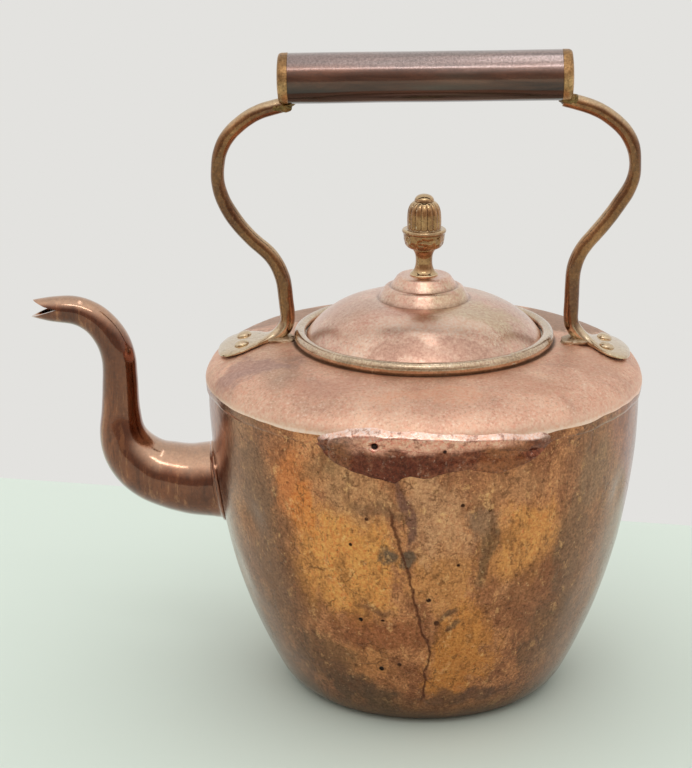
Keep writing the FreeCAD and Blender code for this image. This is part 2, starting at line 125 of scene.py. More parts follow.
def sheetProfile(points, sheet):  # outside, rounded edge, inside and rounded edge of a piece of sheet metal
    bulge = 0.3  # how far the middle of an edge stands out, in sheets
    outside = list(zip(points, normals(points)))
    inside = [((r - sheet * nr, z - sheet * nz), (nr, nz)) for (r, z), (nr, nz) in reversed(outside)]
    profile = []
    for run, side in ((outside, -0.5), (inside, 0.5)):
        (r, z), (nr, nz) = run[-1]
        before = run[-2][0]
        way = Vector((r - before[0], z - before[1])).normalized() * sheet * bulge
        profile += run
        profile.append(((r + way.x + nr * sheet * side, z + way.y + nz * sheet * side), (nr, nz)))
    return profile


def solidProfile(points):
    return list(zip(points, normals(points, True)))


def aroundAxis(count, crowd=0.0):  # angles from the front, closer together there
    turns = [2 * math.pi * k / count for k in range(count)]
    return [turn - crowd * math.sin(turn) for turn in turns]


def turnedRows(profile, angles, relief):
    rows = []
    for (radius, height), (outward, upward) in profile:
        if radius < 1e-6:
            rows.append([Vector((0, 0, height * mm))])
            continue
        row = []
        for angle in angles:
            x, y = math.sin(angle), -math.cos(angle)
            push = relief(x * radius, y * radius, height)
            spread = radius + outward * push
            row.append(Vector((x * spread, y * spread, height + upward * push)) * mm)
        rows.append(row)
    return rows


def skin(name, rows, finishes, closed=True, liningFrom=None, skirtTo=0):  # finishes: outside, lining, skirt
    points = [point for row in rows for point in row]
    starts = [sum(len(row) for row in rows[:k]) for k in range(len(rows))]
    count = max(len(row) for row in rows)
    pairs = [(k, k + 1) for k in range(len(rows) - 1)] + ([(len(rows) - 1, 0)] if closed else [])
    faces, kinds = [], []
    for low, high in pairs:
        a, b, na, nb = starts[low], starts[high], len(rows[low]), len(rows[high])
        for k in range(count):
            j = (k + 1) % count
            corners = [a + k % na, a + j % na, b + j % nb, b + k % nb]
            faces.append(list(dict.fromkeys(corners)))
            kinds.append(1 if liningFrom is not None and low >= liningFrom else 2 if low < skirtTo else 0)
    mesh = bpy.data.meshes.new(name)
    mesh.from_pydata(points, [], faces)
    for finish in finishes:
        mesh.materials.append(finish)
    mesh.polygons.foreach_set("material_index", kinds)
    return finished(name, mesh)


def capped(rows):  # closes both ends of a rod with a point in the middle of its end row
    first, last = ([sum(row, Vector()) / len(row)] for row in (rows[0], rows[-1]))
    return [first] + rows + [last]


def finished(name, mesh):  # faces outward, smooth but for creases
    work = bmesh.new()
    work.from_mesh(mesh)
    bmesh.ops.recalc_face_normals(work, faces=work.faces)
    work.to_mesh(mesh)
    work.free()
    mesh.polygons.foreach_set("use_smooth", [True] * len(mesh.polygons))
    mesh.set_sharp_from_angle(angle=crease)
    piece = bpy.data.objects.new(name, mesh)
    bpy.context.scene.collection.objects.link(piece)
    return piece


def cutAway(piece, cutter):  # removes the cutter's room from a piece
    tool = piece.modifiers.new("cut", "BOOLEAN")
    tool.object = cutter
    tool.operation = "DIFFERENCE"
    tool.solver = "EXACT"
    bpy.context.view_layer.update()
    cut = bpy.data.meshes.new_from_object(piece.evaluated_get(bpy.context.evaluated_depsgraph_get()))
    piece.modifiers.remove(tool)
    piece.data = cut
    bpy.data.objects.remove(cutter)


def join(name, pieces):  # several closed meshes as one piece
    work = bmesh.new()
    for piece in pieces:
        work.from_mesh(piece.data)
    mesh = bpy.data.meshes.new(name)
    work.to_mesh(mesh)
    work.free()
    for finish in pieces[0].data.materials:
        mesh.materials.append(finish)
    for piece in pieces:
        bpy.data.objects.remove(piece)
    return finished(name, mesh)


def seat(piece, body, slot, *nodes):
    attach(piece, body)
    if nodes:
        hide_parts(*nodes)
    print("made", piece.name, len(piece.data.polygons), "faces")


# materials
def hexColour(code):  # sRGB hex to linear
    parts = [int(code[k:k + 2], 16) / 255 for k in (1, 3, 5)]
    return [p / 12.92 if p <= 0.04045 else ((p + 0.055) / 1.055) ** 2.4 for p in parts] + [1.0]


def perMm(size):  # texture scale that gives lumps of a size in millimetres
    return 1 / (size * mm)


# adds a node with its settings and links, and gives one of its outputs
def put(tree, kind, links=(), out=0, stops=(), curve=(), **settings):
    node = tree.nodes.new("ShaderNode" + kind)
    for key, value in settings.items():
        setattr(node, key, value)
    for key, value in dict(links).items():
        if isinstance(value, bpy.types.NodeSocket):
            tree.links.new(value, node.inputs[key])
        else:
            node.inputs[key].default_value = value
    if stops:
        ramp = node.color_ramp.elements
        ramp[0].position, ramp[1].position = stops[0][0], stops[-1][0]
        for place, _ in stops[1:-1]:
            ramp.new(place)
        for element, (_, code) in zip(ramp, stops):
            element.color = hexColour(code)
    if curve:
        points = node.mapping.curves[0].points
        points[0].location, points[1].location = curve[0], curve[-1]
        for place in curve[1:-1]:
            points.new(*place)
        node.mapping.update()
    return node.outputs[out]


# lays a colour over the others as a value goes from low to high, up to a share,
# and only inside a second mask where one is given
def laid(made, value, low, high, code, share, within=None, step="SMOOTHSTEP"):
    tree = made["tree"]
    mask = put(tree, "MapRange", {"Value": value, "From Min": low, "From Max": high, "To Max": share},
               interpolation_type=step)
    if within:
        mask = put(tree, "Math", {0: mask, 1: within}, operation="MULTIPLY")
    made["colour"] = put(tree, "Mix", {0: mask, 6: made["colour"], 7: hexColour(code)}, 2, data_type="RGBA")
    return mask


# old metal: mottled tones, clouds of tarnish, dark specks and glints, all by size in millimetres
# real specks, grit and hairlines are a tenth of a millimetre wide and too fine to show in the render,
# so they are drawn as coarse as they need to show, about 1 mm
def agedMetal(plan):
    finish = bpy.data.materials.new(plan["name"])
    finish.use_nodes = True
    tree = finish.node_tree
    shader = tree.nodes["Principled BSDF"]
    shader.inputs["Metallic"].default_value = 1.0
    if "film" in plan:  # a clear skin of old polish and oxide
        for socket, value in zip(("Coat Weight", "Coat Roughness"), plan["film"]):
            shader.inputs[socket].default_value = value
    place = put(tree, "TexCoord", out="Object")
    stretched = put(tree, "Mapping", {"Vector": place, "Scale": plan.get("stretch", (1, 1, 1))})
    mottle = put(tree, "TexNoise", {"Vector": stretched, "Scale": perMm(plan["mottle"]), "Detail": 8.0,
                                    "Roughness": plan.get("broken", 0.62), "Distortion": 0.5})
    cloud = put(tree, "TexNoise", {"Vector": stretched, "Scale": perMm(plan["cloud"]), "Detail": 5.0})
    speck = put(tree, "TexNoise", {"Vector": place, "Scale": perMm(plan["speck"]), "Detail": 3.0,
                                   "Roughness": 0.7})
    made = {"finish": finish, "tree": tree, "shader": shader, "place": place, "cloud": cloud, "speck": speck,
            "colour": put(tree, "ValToRGB", {"Fac": mottle}, stops=plan["tones"])}
    laid(made, cloud, 0.5, 0.68, *plan["tarnish"])
    laid(made, speck, 0.55, 0.66, *plan["specks"])
    laid(made, speck, 0.43, 0.33, *plan["glints"])
    smooth, dull = plan["rough"]
    made["rough"] = put(tree, "MapRange", {"Value": mottle, "From Min": 0.35, "From Max": 0.65,
                                           "To Min": smooth, "To Max": dull})
    size, depth = plan["planish"]
    dents = put(tree, "TexNoise", {"Vector": place, "Scale": perMm(size), "Detail": 2.0})
    bump = put(tree, "Bump", {"Height": dents, "Strength": 1.0, "Distance": depth * mm})
    made["normal"] = put(tree, "Bump", {"Height": speck, "Normal": bump, "Strength": 1.0,
                                        "Distance": plan["grain"] * mm})
    return made


def crackled(made, size, code, share):  # a broken net of hairline cracks
    tree, place = made["tree"], made["place"]
    warp = put(tree, "TexNoise", {"Vector": place, "Scale": perMm(size * 0.4), "Detail": 6.0}, "Color")
    shifted = put(tree, "VectorMath", {0: warp, 1: [size * mm * 0.6] * 3, 2: place}, operation="MULTIPLY_ADD")
    cell = put(tree, "TexVoronoi", {"Vector": shifted, "Scale": perMm(size)}, "Distance",
               feature="DISTANCE_TO_EDGE")
    patchy = put(tree, "TexNoise", {"Vector": place, "Scale": perMm(size * 1.3), "Detail": 2.0})
    sparse = put(tree, "MapRange", {"Value": patchy, "From Min": 0.56, "From Max": 0.64})
    mask = laid(made, cell, 0.035, 0.01, code, share, sparse, "LINEAR")
    made["normal"] = put(tree, "Bump", {"Height": mask, "Normal": made["normal"], "Strength": 1.0,
                                        "Distance": -0.15 * mm})


def graded(made, start, end, code, share, wander):  # comes in between two heights, with an uneven edge
    tree = made["tree"]
    height = put(tree, "SeparateXYZ", {0: made["place"]}, 2)
    level = put(tree, "Math", {0: height, 1: 1 / mm, 2: -wander / 2}, operation="MULTIPLY_ADD")
    level = put(tree, "Math", {0: made["cloud"], 1: wander, 2: level}, operation="MULTIPLY_ADD")
    laid(made, level, start, end, code, share)


def roundPot(made, radius):  # places by arc from the front and height, both in millimetres
    tree = made["tree"]
    x, y, z = put(tree, "SeparateXYZ", {0: made["place"]}).node.outputs
    front = put(tree, "Math", {0: y, 1: -1.0}, operation="MULTIPLY")
    angle = put(tree, "Math", {0: x, 1: front}, operation="ARCTAN2")
    made["arc"] = put(tree, "Math", {0: angle, 1: radius}, operation="MULTIPLY")
    made["height"] = put(tree, "Math", {0: z, 1: 1 / mm}, operation="MULTIPLY")
    made["spot"] = put(tree, "CombineXYZ", {0: made["arc"], 1: made["height"]})


def fromAbove(made):  # places by x and y, in millimetres
    made["spot"] = put(made["tree"], "Mapping", {"Vector": made["place"], "Scale": (1 / mm, 1 / mm, 0)})


pitWide = 1.6  # a stain narrower than this is a pit, which is round, clean edged and pressed into the wall


def stainsAndPaintedBands(made, blotches):  # patches with crumbling edges, and small clean pits
    tree, place = made["tree"], made["place"]
    drawn = put(tree, "Mapping", {"Vector": place, "Scale": (1, 1, 0.6)})
    crumble = put(tree, "TexNoise", {"Vector": drawn, "Scale": perMm(7), "Detail": 10.0, "Roughness": 0.74})
    wander = put(tree, "TexNoise", {"Vector": drawn, "Scale": perMm(22), "Detail": 5.0}, "Color")
    centred = put(tree, "VectorMath", {0: wander, 1: (0.5, 0.5, 0.5)}, operation="SUBTRACT")
    ragged = put(tree, "VectorMath", {0: centred, 1: (34, 34, 0), 2: made["spot"]}, operation="MULTIPLY_ADD")
    for x, z, wide, tall, code, share in blotches:
        if wide < pitWide:
            spot, crumbs, middle, soft = made["spot"], 0.4, 1.2, 0.2
        else:
            spot, crumbs, middle, soft = ragged, 2.4, 2.2, 0.34
        away = put(tree, "VectorMath", {0: spot, 1: (x, z, 0)}, operation="SUBTRACT")
        scaled = put(tree, "VectorMath", {0: away, 1: (1 / wide, 1 / tall, 0)}, operation="MULTIPLY")
        reach = put(tree, "VectorMath", {0: scaled}, "Value", operation="LENGTH")
        edge = put(tree, "Math", {0: crumble, 1: crumbs, 2: reach}, operation="MULTIPLY_ADD")
        laid(made, edge, middle + soft, middle - soft, code, share)


def peppered(made, *crumbs):  # crumbs and runs of other patina
    tree = made["tree"]
    for size, drawn, start, full, share, code in crumbs:
        place = put(tree, "Mapping", {"Vector": made["place"], "Scale": (1, 1, drawn)})
        crumb = put(tree, "TexNoise", {"Vector": place, "Scale": perMm(size), "Detail": 9.0,
                                       "Roughness": 0.72})
        laid(made, crumb, start, full, code, share)


def ringShadeAndDirt(made, radius, width, code, share):  # a dark ring round the foot of something turned: painted shade where the parts meet, and dirt
    tree = made["tree"]
    flat = put(tree, "Mapping", {"Vector": made["place"], "Scale": (1 / mm, 1 / mm, 0)})
    away = put(tree, "VectorMath", {0: flat}, "Value", operation="LENGTH")
    crumbs = 1.6
    ragged = put(tree, "Math", {0: made["speck"], 1: crumbs, 2: away}, operation="MULTIPLY_ADD")
    laid(made, ragged, radius + width + crumbs / 2, radius + crumbs / 2, code, share)


def paintedTopHighlight(made, code, share):  # painted highlight: upper sides made paler where they face the light above
    tree = made["tree"]
    upward = put(tree, "SeparateXYZ", {0: put(tree, "NewGeometry", out="Normal")}, 2)
    patchy = put(tree, "Math", {0: made["cloud"], 1: 0.6, 2: upward}, operation="MULTIPLY_ADD")
    laid(made, patchy, 0.55, 1.05, code, share)


def darkHollowsRidgeHighlight(made, crevice, ridge, share):  # darker in hollows, and a painted highlight on ridges
    point = put(made["tree"], "NewGeometry", out="Pointiness")
    laid(made, point, 0.5, 0.46, crevice, share, step="LINEAR")
    laid(made, point, 0.51, 0.56, ridge, share, step="LINEAR")


def makeFinish(plan):  # the metal, its layers in order, then fine light and dark grit over all colours
    made = agedMetal(plan)
    tree = made["tree"]
    for layer, *amounts in plan.get("layers", ()):
        layer(made, *amounts)
    size, share = plan["grit"]
    grit = put(tree, "TexNoise", {"Vector": made["place"], "Scale": perMm(size), "Detail": 5.0,
                                  "Roughness": 0.75})
    shade = put(tree, "MapRange", {"Value": grit, "From Min": 0.34, "From Max": 0.66, "To Min": 0.08,
                                   "To Max": 0.92})
    colour = put(tree, "Mix", {0: share, 6: made["colour"], 7: shade}, 2, data_type="RGBA",
                 blend_type="OVERLAY")
    for socket, value in (("Base Color", colour), ("Roughness", made["rough"]), ("Normal", made["normal"])):
        tree.links.new(value, made["shader"].inputs[socket])
    return made["finish"]


# the long crack in the wall, a dark run that follows a curve of arc against height
crack = {
    "line": ((14, 0), (31, 2), (46, 3), (57, -1), (74, -4), (87, -7), (99, -10), (118, -15)),  # height, arc
    "reach": 20.0, "width": 1.1, "core": 0.2, "colour": "#5a2f1f", "share": 0.8, "shake": (5, 5.0),
    "start": (-2, 4), "end": (2, -8),  # how it fades in and out, from its lowest and highest point
}


def cracked(made, plan):
    tree, height, reach = made["tree"], made["height"], plan["reach"]
    (lowest, _), (highest, _) = plan["line"][0], plan["line"][-1]
    curve = [((z - lowest) / (highest - lowest), (x + reach) / (2 * reach)) for z, x in plan["line"]]
    climbed = put(tree, "MapRange", {"Value": height, "From Min": lowest, "From Max": highest})
    drawn = put(tree, "FloatCurve", {"Value": climbed}, curve=curve)
    middle = put(tree, "Math", {0: drawn, 1: 2 * reach, 2: -reach}, operation="MULTIPLY_ADD")
    size, swing = plan["shake"]
    shake = put(tree, "TexNoise", {"Vector": made["place"], "Scale": perMm(size), "Detail": 5.0})
    wobble = put(tree, "Math", {0: shake, 1: swing, 2: -swing / 2}, operation="MULTIPLY_ADD")
    shaken = put(tree, "Math", {0: made["arc"], 1: wobble}, operation="ADD")
    gap = put(tree, "Math", {0: shaken, 1: middle}, operation="SUBTRACT")
    gap = put(tree, "Math", {0: gap}, operation="ABSOLUTE")
    ends = [put(tree, "MapRange", {"Value": height, "From Min": level + fade[0], "From Max": level + fade[1]})
            for level, fade in ((lowest, plan["start"]), (highest, plan["end"]))]
    inside = put(tree, "Math", dict(enumerate(ends)), operation="MULTIPLY")
    laid(made, gap, plan["width"], plan["core"], plan["colour"], plan["share"], inside)


def flanksPaintedReflection(made, start, end, code, share, rough):  # both sides: thinner patina and smoother copper, with a painted reflection colour
    tree, drift = made["tree"], 40.0
    ragged = put(tree, "Math", {0: made["cloud"], 1: drift, 2: -drift / 2}, operation="MULTIPLY_ADD")
    off = put(tree, "Math", {0: made["arc"]}, operation="ABSOLUTE")
    off = put(tree, "Math", {0: off, 1: ragged}, operation="ADD")
    mask = laid(made, off, start, end, code, share)
    made["rough"] = put(tree, "MapRange", {"Value": mask, "From Max": share, "To Min": made["rough"],
                                           "To Max": rough})


wallStains = (  # arc from the front, height, half width, half height, colour, share
    (-35, 84, 22, 26, "#eea25a", 0.8), (45, 94, 20, 17, "#e49b58", 0.75), (20, 43, 15, 26, "#e0934c", 0.75),
    (8, 84, 12, 16, "#d79358", 0.6), (5, 112, 14, 18, "#daa178", 0.7), (-29, 119, 17, 12, "#ca946a", 0.7),
    (-61, 116, 13, 20, "#da834b", 0.7), (-53, 104, 6, 12, "#e48b48", 0.6),
    (-36, 34, 19, 10, "#d28e5a", 0.7), (-23, 51, 28, 9, "#9c5b3c", 0.7), (57, 68, 22, 20, "#8b573d", 0.7),
    (40, 122, 18, 8, "#bf865f", 0.6), (26, 110, 7, 9, "#98765e", 0.75), (-9, 113, 2.2, 17, "#7b5348", 0.85),
    (25, 93, 3.4, 15, "#75563f", 0.8), (-20, 112, 8, 3.4, "#8b6248", 0.7),
    (-18, 89, 4.4, 4.6, "#5f5045", 0.9), (-8, 91.5, 3.8, 4.2, "#6a5749", 0.9),
    (11, 65, 4.6, 2.0, "#725743", 0.8), (14, 57, 3.4, 2.0, "#725743", 0.8),
    (-22, 67, 6, 2.2, "#855a40", 0.7), (30, 70, 4, 20, "#985f43", 0.5), (-41, 17, 26, 7, "#604a3b", 0.8),
    (30, 16, 24, 5, "#6d5145", 0.7), (-76, 74, 15, 34, "#845b42", 0.75), (-58, 66, 9, 26, "#8f5c3b", 0.6),
    (-84, 112, 10, 22, "#7f5b45", 0.75), (-62, 30, 20, 14, "#73533c", 0.7),
    (76, 82, 13, 26, "#826049", 0.75), (72, 44, 20, 20, "#7e5c44", 0.65), (86, 118, 12, 16, "#a58468", 0.6),
    (-44, 128, 10, 7, "#9b7250", 0.6), (190, 110, 34, 18, "#c48a58", 0.6),
    (-160, 96, 30, 40, "#8d6447", 0.6), (240, 62, 40, 22, "#8a5f42", 0.6),
    (-232, 58, 46, 20, "#7f5a42", 0.65), (-205, 118, 30, 14, "#b57f57", 0.6),
    (150, 36, 44, 16, "#6f5343", 0.65), (-140, 34, 40, 14, "#6d5040", 0.65),
    (276, 100, 18, 30, "#a87650", 0.5), (130, 84, 22, 34, "#9c7052", 0.6),
    (3, 71, 1.2, 1.1, "#201510", 1.0), (7, 59, 1.3, 1.2, "#201510", 1.0),
    (-30, 59, 1.1, 1.0, "#201510", 1.0), (-22, 33, 1.4, 1.2, "#201510", 1.0),
    (-12, 36, 1.2, 1.1, "#201510", 1.0), (-32, 96, 0.8, 0.8, "#362015", 1.0),
    (-24, 109, 0.9, 0.9, "#362015", 1.0), (17, 116, 0.9, 0.8, "#362015", 1.0),
    (29, 113, 0.8, 0.8, "#362015", 1.0), (-19, 59.5, 1.0, 0.6, "#362015", 1.0),
    (16, 88, 0.8, 0.7, "#362015", 1.0),
)
# rolled copper sheet, once polished and long on the fire: gold, tan and brown islands with crumbling edges
wallFinish = {
    "name": "agedCopperSheet", "grit": (1.3, 0.5), "film": (0.15, 0.2), "mottle": 13, "broken": 0.7,
    "cloud": 30, "stretch": (1.0, 1.0, 0.6),
    "tones": ((0.34, "#8c5439"), (0.46, "#b27451"), (0.55, "#cd8a5e"), (0.68, "#e5a374")),
    "tarnish": ("#8b5943", 0.6), "speck": 0.9, "specks": ("#653b26", 0.6), "glints": ("#f9b67b", 0.45),
    "rough": (0.3, 0.46), "planish": (16, 0.3), "grain": 0.07,
    "layers": (
        (roundPot, wallRadius), (stainsAndPaintedBands, wallStains),
        (peppered,  # size, drawn out, noise level where it starts and is full, share, colour
         (9, 0.6, 0.51, 0.62, 0.42, "#7f4d33"), (3.2, 1.0, 0.55, 0.62, 0.55, "#5f3824"),
         (3.0, 0.1, 0.56, 0.66, 0.45, "#6b4630"), (1.6, 0.05, 0.60, 0.67, 0.5, "#4f2f1e"),
         (5, 0.7, 0.43, 0.36, 0.45, "#f6ba7e"), (2.2, 1.0, 0.40, 0.33, 0.4, "#ffd09a")),
        (crackled, 12, "#5a3923", 0.55), (crackled, 4, "#6a452c", 0.5), (cracked, crack),
        # the flanks' colour is a painted reflection
        (flanksPaintedReflection, 58, 86, "#8b6651", 0.6, 0.15),  # arc where it starts and is full, colour, share, roughness
        (graded, 22, 2, "#7a5f49", 0.85, 22.0)),  # darker grey brown round the foot
}
# copper sheet raised and planished by hand, bare of polish: pale pink and dull, with a peppered grain
shoulderFinish = {
    "name": "planishedCopper", "grit": (1.7, 0.24), "mottle": 24, "cloud": 44,
    "tones": ((0.32, "#d3a993"), (0.47, "#e9baa1"), (0.58, "#f2c7ae"), (0.72, "#fbd7bd")),
    "tarnish": ("#caa991", 0.55), "speck": 1.1, "specks": ("#a17763", 0.35), "glints": ("#ffeedb", 0.5),
    "rough": (0.42, 0.56), "planish": (11, 0.3), "grain": 0.12,
    "layers": (
        (fromAbove,),
        (stainsAndPaintedBands, ((-72, -35, 17, 12, "#bd978c", 0.7), (-42, -64, 18, 7, "#daa791", 0.5),
                   (42, -62, 20, 8, "#daa78d", 0.5), (74, -28, 10, 16, "#d9ab91", 0.5),
                   (4, -76, 26, 5, "#f9c4a5", 0.5), (62, 40, 34, 26, "#a38470", 0.8),
                   (-58, 44, 32, 28, "#a88874", 0.75), (2, 78, 44, 16, "#c19b85", 0.55))),
        (graded, 150.5, 147.0, "#f0c9b2", 0.55, 3.0),  # the rubbed edge, paler with wear and a painted sheen
        # a painted highlight along the bend
        (graded, 146.2, 144.8, "#ffe2d0", 0.7, 1.6),
        # a dark line round the mouth ring, painted shade and dirt
        (ringShadeAndDirt, mouthRadius, 1.6, "#4a3526", 0.8)),
}
# the edge of the patch: where it starts and ends round the pot, how pale its ledge is, and the painted
# highlight on its crest
patchEdge = {
    "middle": 5.0, "ends": (40.0, 27.0), "ledge": ("#f1ad93", 0.9), "ledgeLevel": (145.5, 149.5),
    "ragged": 14.0, "crest": ("#ffdac9", 0.95), "crestSlope": (0.25, 1.2), "crestLevel": (140.5, 143.5),
    "patchy": 0.9,
}


def edged(made, plan):
    tree, cloud, height = made["tree"], made["cloud"], made["height"]
    off = put(tree, "Math", {0: made["arc"], 1: plan["middle"]}, operation="SUBTRACT")
    off = put(tree, "Math", {0: off}, operation="ABSOLUTE")
    inside = put(tree, "MapRange", {"Value": off, "From Min": plan["ends"][0], "From Max": plan["ends"][1]})
    level = put(tree, "Math", {0: cloud, 1: plan["ragged"], 2: height}, operation="MULTIPLY_ADD")
    laid(made, level, *plan["ledgeLevel"], *plan["ledge"], inside)
    # the crest: a painted highlight where the surface faces up
    upward = put(tree, "SeparateXYZ", {0: put(tree, "NewGeometry", out="Normal")}, 2)
    slope = put(tree, "Math", {0: cloud, 1: plan["patchy"], 2: upward}, operation="MULTIPLY_ADD")
    low, full = plan["crestLevel"]
    high = put(tree, "MapRange", {"Value": height, "From Min": low, "From Max": full})
    laid(made, slope, *plan["crestSlope"], *plan["crest"], high)


# the same sheet beaten down and soldered over a split seam: rubbed pink above, dark red brown below
patchFinish = {
    "name": "hammeredCopperPatch", "grit": (1.4, 0.6), "film": (0.3, 0.16), "mottle": 9, "cloud": 14,
    "tones": ((0.32, "#623022"), (0.47, "#7d432e"), (0.58, "#91563c"), (0.72, "#b57958")),
    "tarnish": ("#5d2d20", 0.75), "speck": 1.2, "specks": ("#4c291a", 0.5), "glints": ("#c89477", 0.3),
    "rough": (0.2, 0.34), "planish": (5, 0.45), "grain": 0.08,
    "layers": (
        (roundPot, bodyRadius),
        (stainsAndPaintedBands, ((-35, 136, 8, 7, "#8e5c3d", 0.7), (-8, 133, 20, 7, "#622c1e", 0.8),
                   (34, 136, 15, 6, "#9a5f3c", 0.7))),
        (edged, patchEdge),
        (peppered, (4.0, 1.0, 0.52, 0.62, 0.6, "#8a5640"), (2.6, 1.0, 0.42, 0.34, 0.25, "#ffd9c4")),
        (stainsAndPaintedBands, ((-20, 142.6, 1.4, 1.3, "#2b1711", 1.0), (9, 141.0, 0.8, 0.7, "#3c1f17", 1.0)))),  # pits
}
# spun copper, satin from cleaning, with soft clouds of old tarnish
lidFinish = {
    "name": "spunCopper", "grit": (1.4, 0.35), "film": (0.5, 0.2), "mottle": 24, "cloud": 30,
    "tones": ((0.32, "#d3aa95"), (0.47, "#e5b9a3"), (0.58, "#efc7b0"), (0.72, "#f7dbc5")),
    "tarnish": ("#c5a38e", 0.5), "speck": 1.1, "specks": ("#ab8572", 0.4), "glints": ("#f7eedc", 0.3),
    "rough": (0.26, 0.36), "planish": (14, 0.3), "grain": 0.04,
    "layers": (
        (fromAbove,),
        # the two wide bands across the front, darker at the rim and pale above it, are a painted reflection
        (stainsAndPaintedBands, ((24, -20, 18, 14, "#d6bd9b", 0.65), (-20, -26, 14, 8, "#dca68f", 0.5),
                   (2, -47, 30, 5, "#bb8e7b", 0.65), (2, -31, 30, 7, "#f6d3bd", 0.7),
                   (-34, -4, 9, 16, "#cea088", 0.5), (30, 18, 16, 12, "#d1b093", 0.5),
                   (-8, 26, 22, 10, "#d8b099", 0.5))),
        # painted highlight on the steps' ridges, darker in hollows
        (darkHollowsRidgeHighlight, "#7d5c4c", "#ecd0be", 0.5)),
}
# copper tube bent over a filling: deep brown under a clear film, with painted highlights on its upper sides
spoutFinish = {
    "name": "bentCopperTube", "grit": (1.6, 0.16), "film": (1.0, 0.07), "mottle": 12, "cloud": 22,
    "tones": ((0.32, "#623520"), (0.47, "#7a462c"), (0.58, "#8e5335"), (0.72, "#a46643")),
    "stretch": (1.0, 1.0, 0.35),
    "tarnish": ("#623725", 0.6), "speck": 1.2, "specks": ("#502819", 0.22), "glints": ("#a46951", 0.2),
    "rough": (0.1, 0.18), "planish": (13, 0.2), "grain": 0.03,
    "layers": ((peppered, (5.0, 0.08, 0.53, 0.62, 0.5, "#452415"), (5.0, 0.08, 0.46, 0.38, 0.45, "#c0855c")),
               (paintedTopHighlight, "#dcb496", 0.65)),
}
# rolled copper tube under a thick brown oxide, streaked along its length by rubbing
gripFinish = {
    "name": "oxidisedCopperTube", "grit": (1.0, 0.45), "film": (1.0, 0.12), "mottle": 6, "cloud": 10,
    "tones": ((0.32, "#432a20"), (0.47, "#664232"), (0.58, "#7e5340"), (0.72, "#a67f6c")),
    "stretch": (0.12, 1.0, 1.0),
    "tarnish": ("#5f564b", 0.7), "speck": 1.0, "specks": ("#33221a", 0.5), "glints": ("#a98a7a", 0.3),
    "rough": (0.14, 0.28), "planish": (10, 0.1), "grain": 0.03,
    # painted shade darkens the underside, and a painted highlight makes the top paler
    "layers": ((graded, 281.0, 272.0, "#1f1612", 0.9, 5.0), (graded, 282.0, 287.0, "#b3a3a1", 0.6, 5.0)),
}
# turned brass, tarnished to straw and brown, darker in hollows, with painted highlights on its ridges and
# upper sides
ringFinish = {
    "name": "turnedBrass", "grit": (1.0, 0.35), "film": (0.8, 0.1), "mottle": 16, "cloud": 22,
    "tones": ((0.32, "#a88c6f"), (0.47, "#c3a485"), (0.58, "#d1b395"), (0.72, "#e0c7af")),
    "tarnish": ("#90785c", 0.6), "speck": 0.9, "specks": ("#6e573f", 0.45), "glints": ("#e6d6c2", 0.3),
    "rough": (0.16, 0.28), "planish": (7, 0.12), "grain": 0.05,
    "layers": ((darkHollowsRidgeHighlight, "#5b472a", "#e8d6b4", 0.5), (paintedTopHighlight, "#f3e2c6", 0.25)),
}
# the same brass left dull on the grip's ends
capFinish = {
    "name": "dullBrass", "grit": (1.0, 0.45), "film": (0.15, 0.3), "mottle": 8, "cloud": 10,
    "tones": ((0.32, "#906d47"), (0.47, "#af8659"), (0.58, "#c39a6b"), (0.72, "#dcb384")),
    "tarnish": ("#7a5b3b", 0.7), "speck": 0.9, "specks": ("#564027", 0.5), "glints": ("#e6be8e", 0.3),
    "rough": (0.3, 0.45), "planish": (5, 0.15), "grain": 0.06,
}
# forged brass rod under brown tarnish, rubbed down to pale metal at the feet
armFinish = {
    "name": "forgedBrass", "grit": (1.2, 0.3), "film": (0.6, 0.12), "mottle": 18, "cloud": 16,
    "tones": ((0.32, "#663f22"), (0.47, "#7f542f"), (0.58, "#95653b"), (0.72, "#b48153")),
    "stretch": (1.0, 1.0, 0.5),
    "tarnish": ("#643d29", 0.7), "speck": 1.0, "specks": ("#4a2c1b", 0.5), "glints": ("#c28861", 0.3),
    "rough": (0.1, 0.2), "planish": (8, 0.2), "grain": 0.03,
    # painted highlights on the ridges and upper sides; the feet are paler brass
    "layers": ((darkHollowsRidgeHighlight, "#3c2c1c", "#c4a988", 0.5), (paintedTopHighlight, "#ddc09a", 0.75),
               (graded, 170.0, 163.5, "#dfc8a8", 0.8, 5.0),
               (peppered, (3.0, 1.0, 0.54, 0.64, 0.35, "#8a6a48"))),
}
# cast brass turned and polished: warm gold with painted highlights on the ridges and upper sides, darker
# brown in the grooves
finialFinish = {
    "name": "castBrass", "grit": (1.0, 0.25), "film": (0.4, 0.07), "mottle": 9, "cloud": 10,
    "tones": ((0.32, "#8b6340"), (0.47, "#a1744b"), (0.58, "#b08358"), (0.72, "#c29868")),
    "tarnish": ("#714f31", 0.55), "speck": 0.8, "specks": ("#513520", 0.4), "glints": ("#c89f71", 0.3),
    "rough": (0.08, 0.16), "planish": (5, 0.06), "grain": 0.02,
    "layers": ((darkHollowsRidgeHighlight, "#46311f", "#f0d9b6", 0.65), (paintedTopHighlight, "#f0d6a8", 0.5)),
}
# tin wiped over the copper inside: grey, soft and streaky
tinFinish = {
    "name": "wipedTin", "grit": (1.5, 0.3), "mottle": 18, "cloud": 30,
    "tones": ((0.32, "#807d77"), (0.50, "#9b9892"), (0.72, "#b4b1aa")),
    "tarnish": ("#6d6a63", 0.6), "speck": 1.4, "specks": ("#5d5a54", 0.4), "glints": ("#c4c1ba", 0.2),
    "rough": (0.4, 0.55), "planish": (10, 0.2), "grain": 0.06,
}
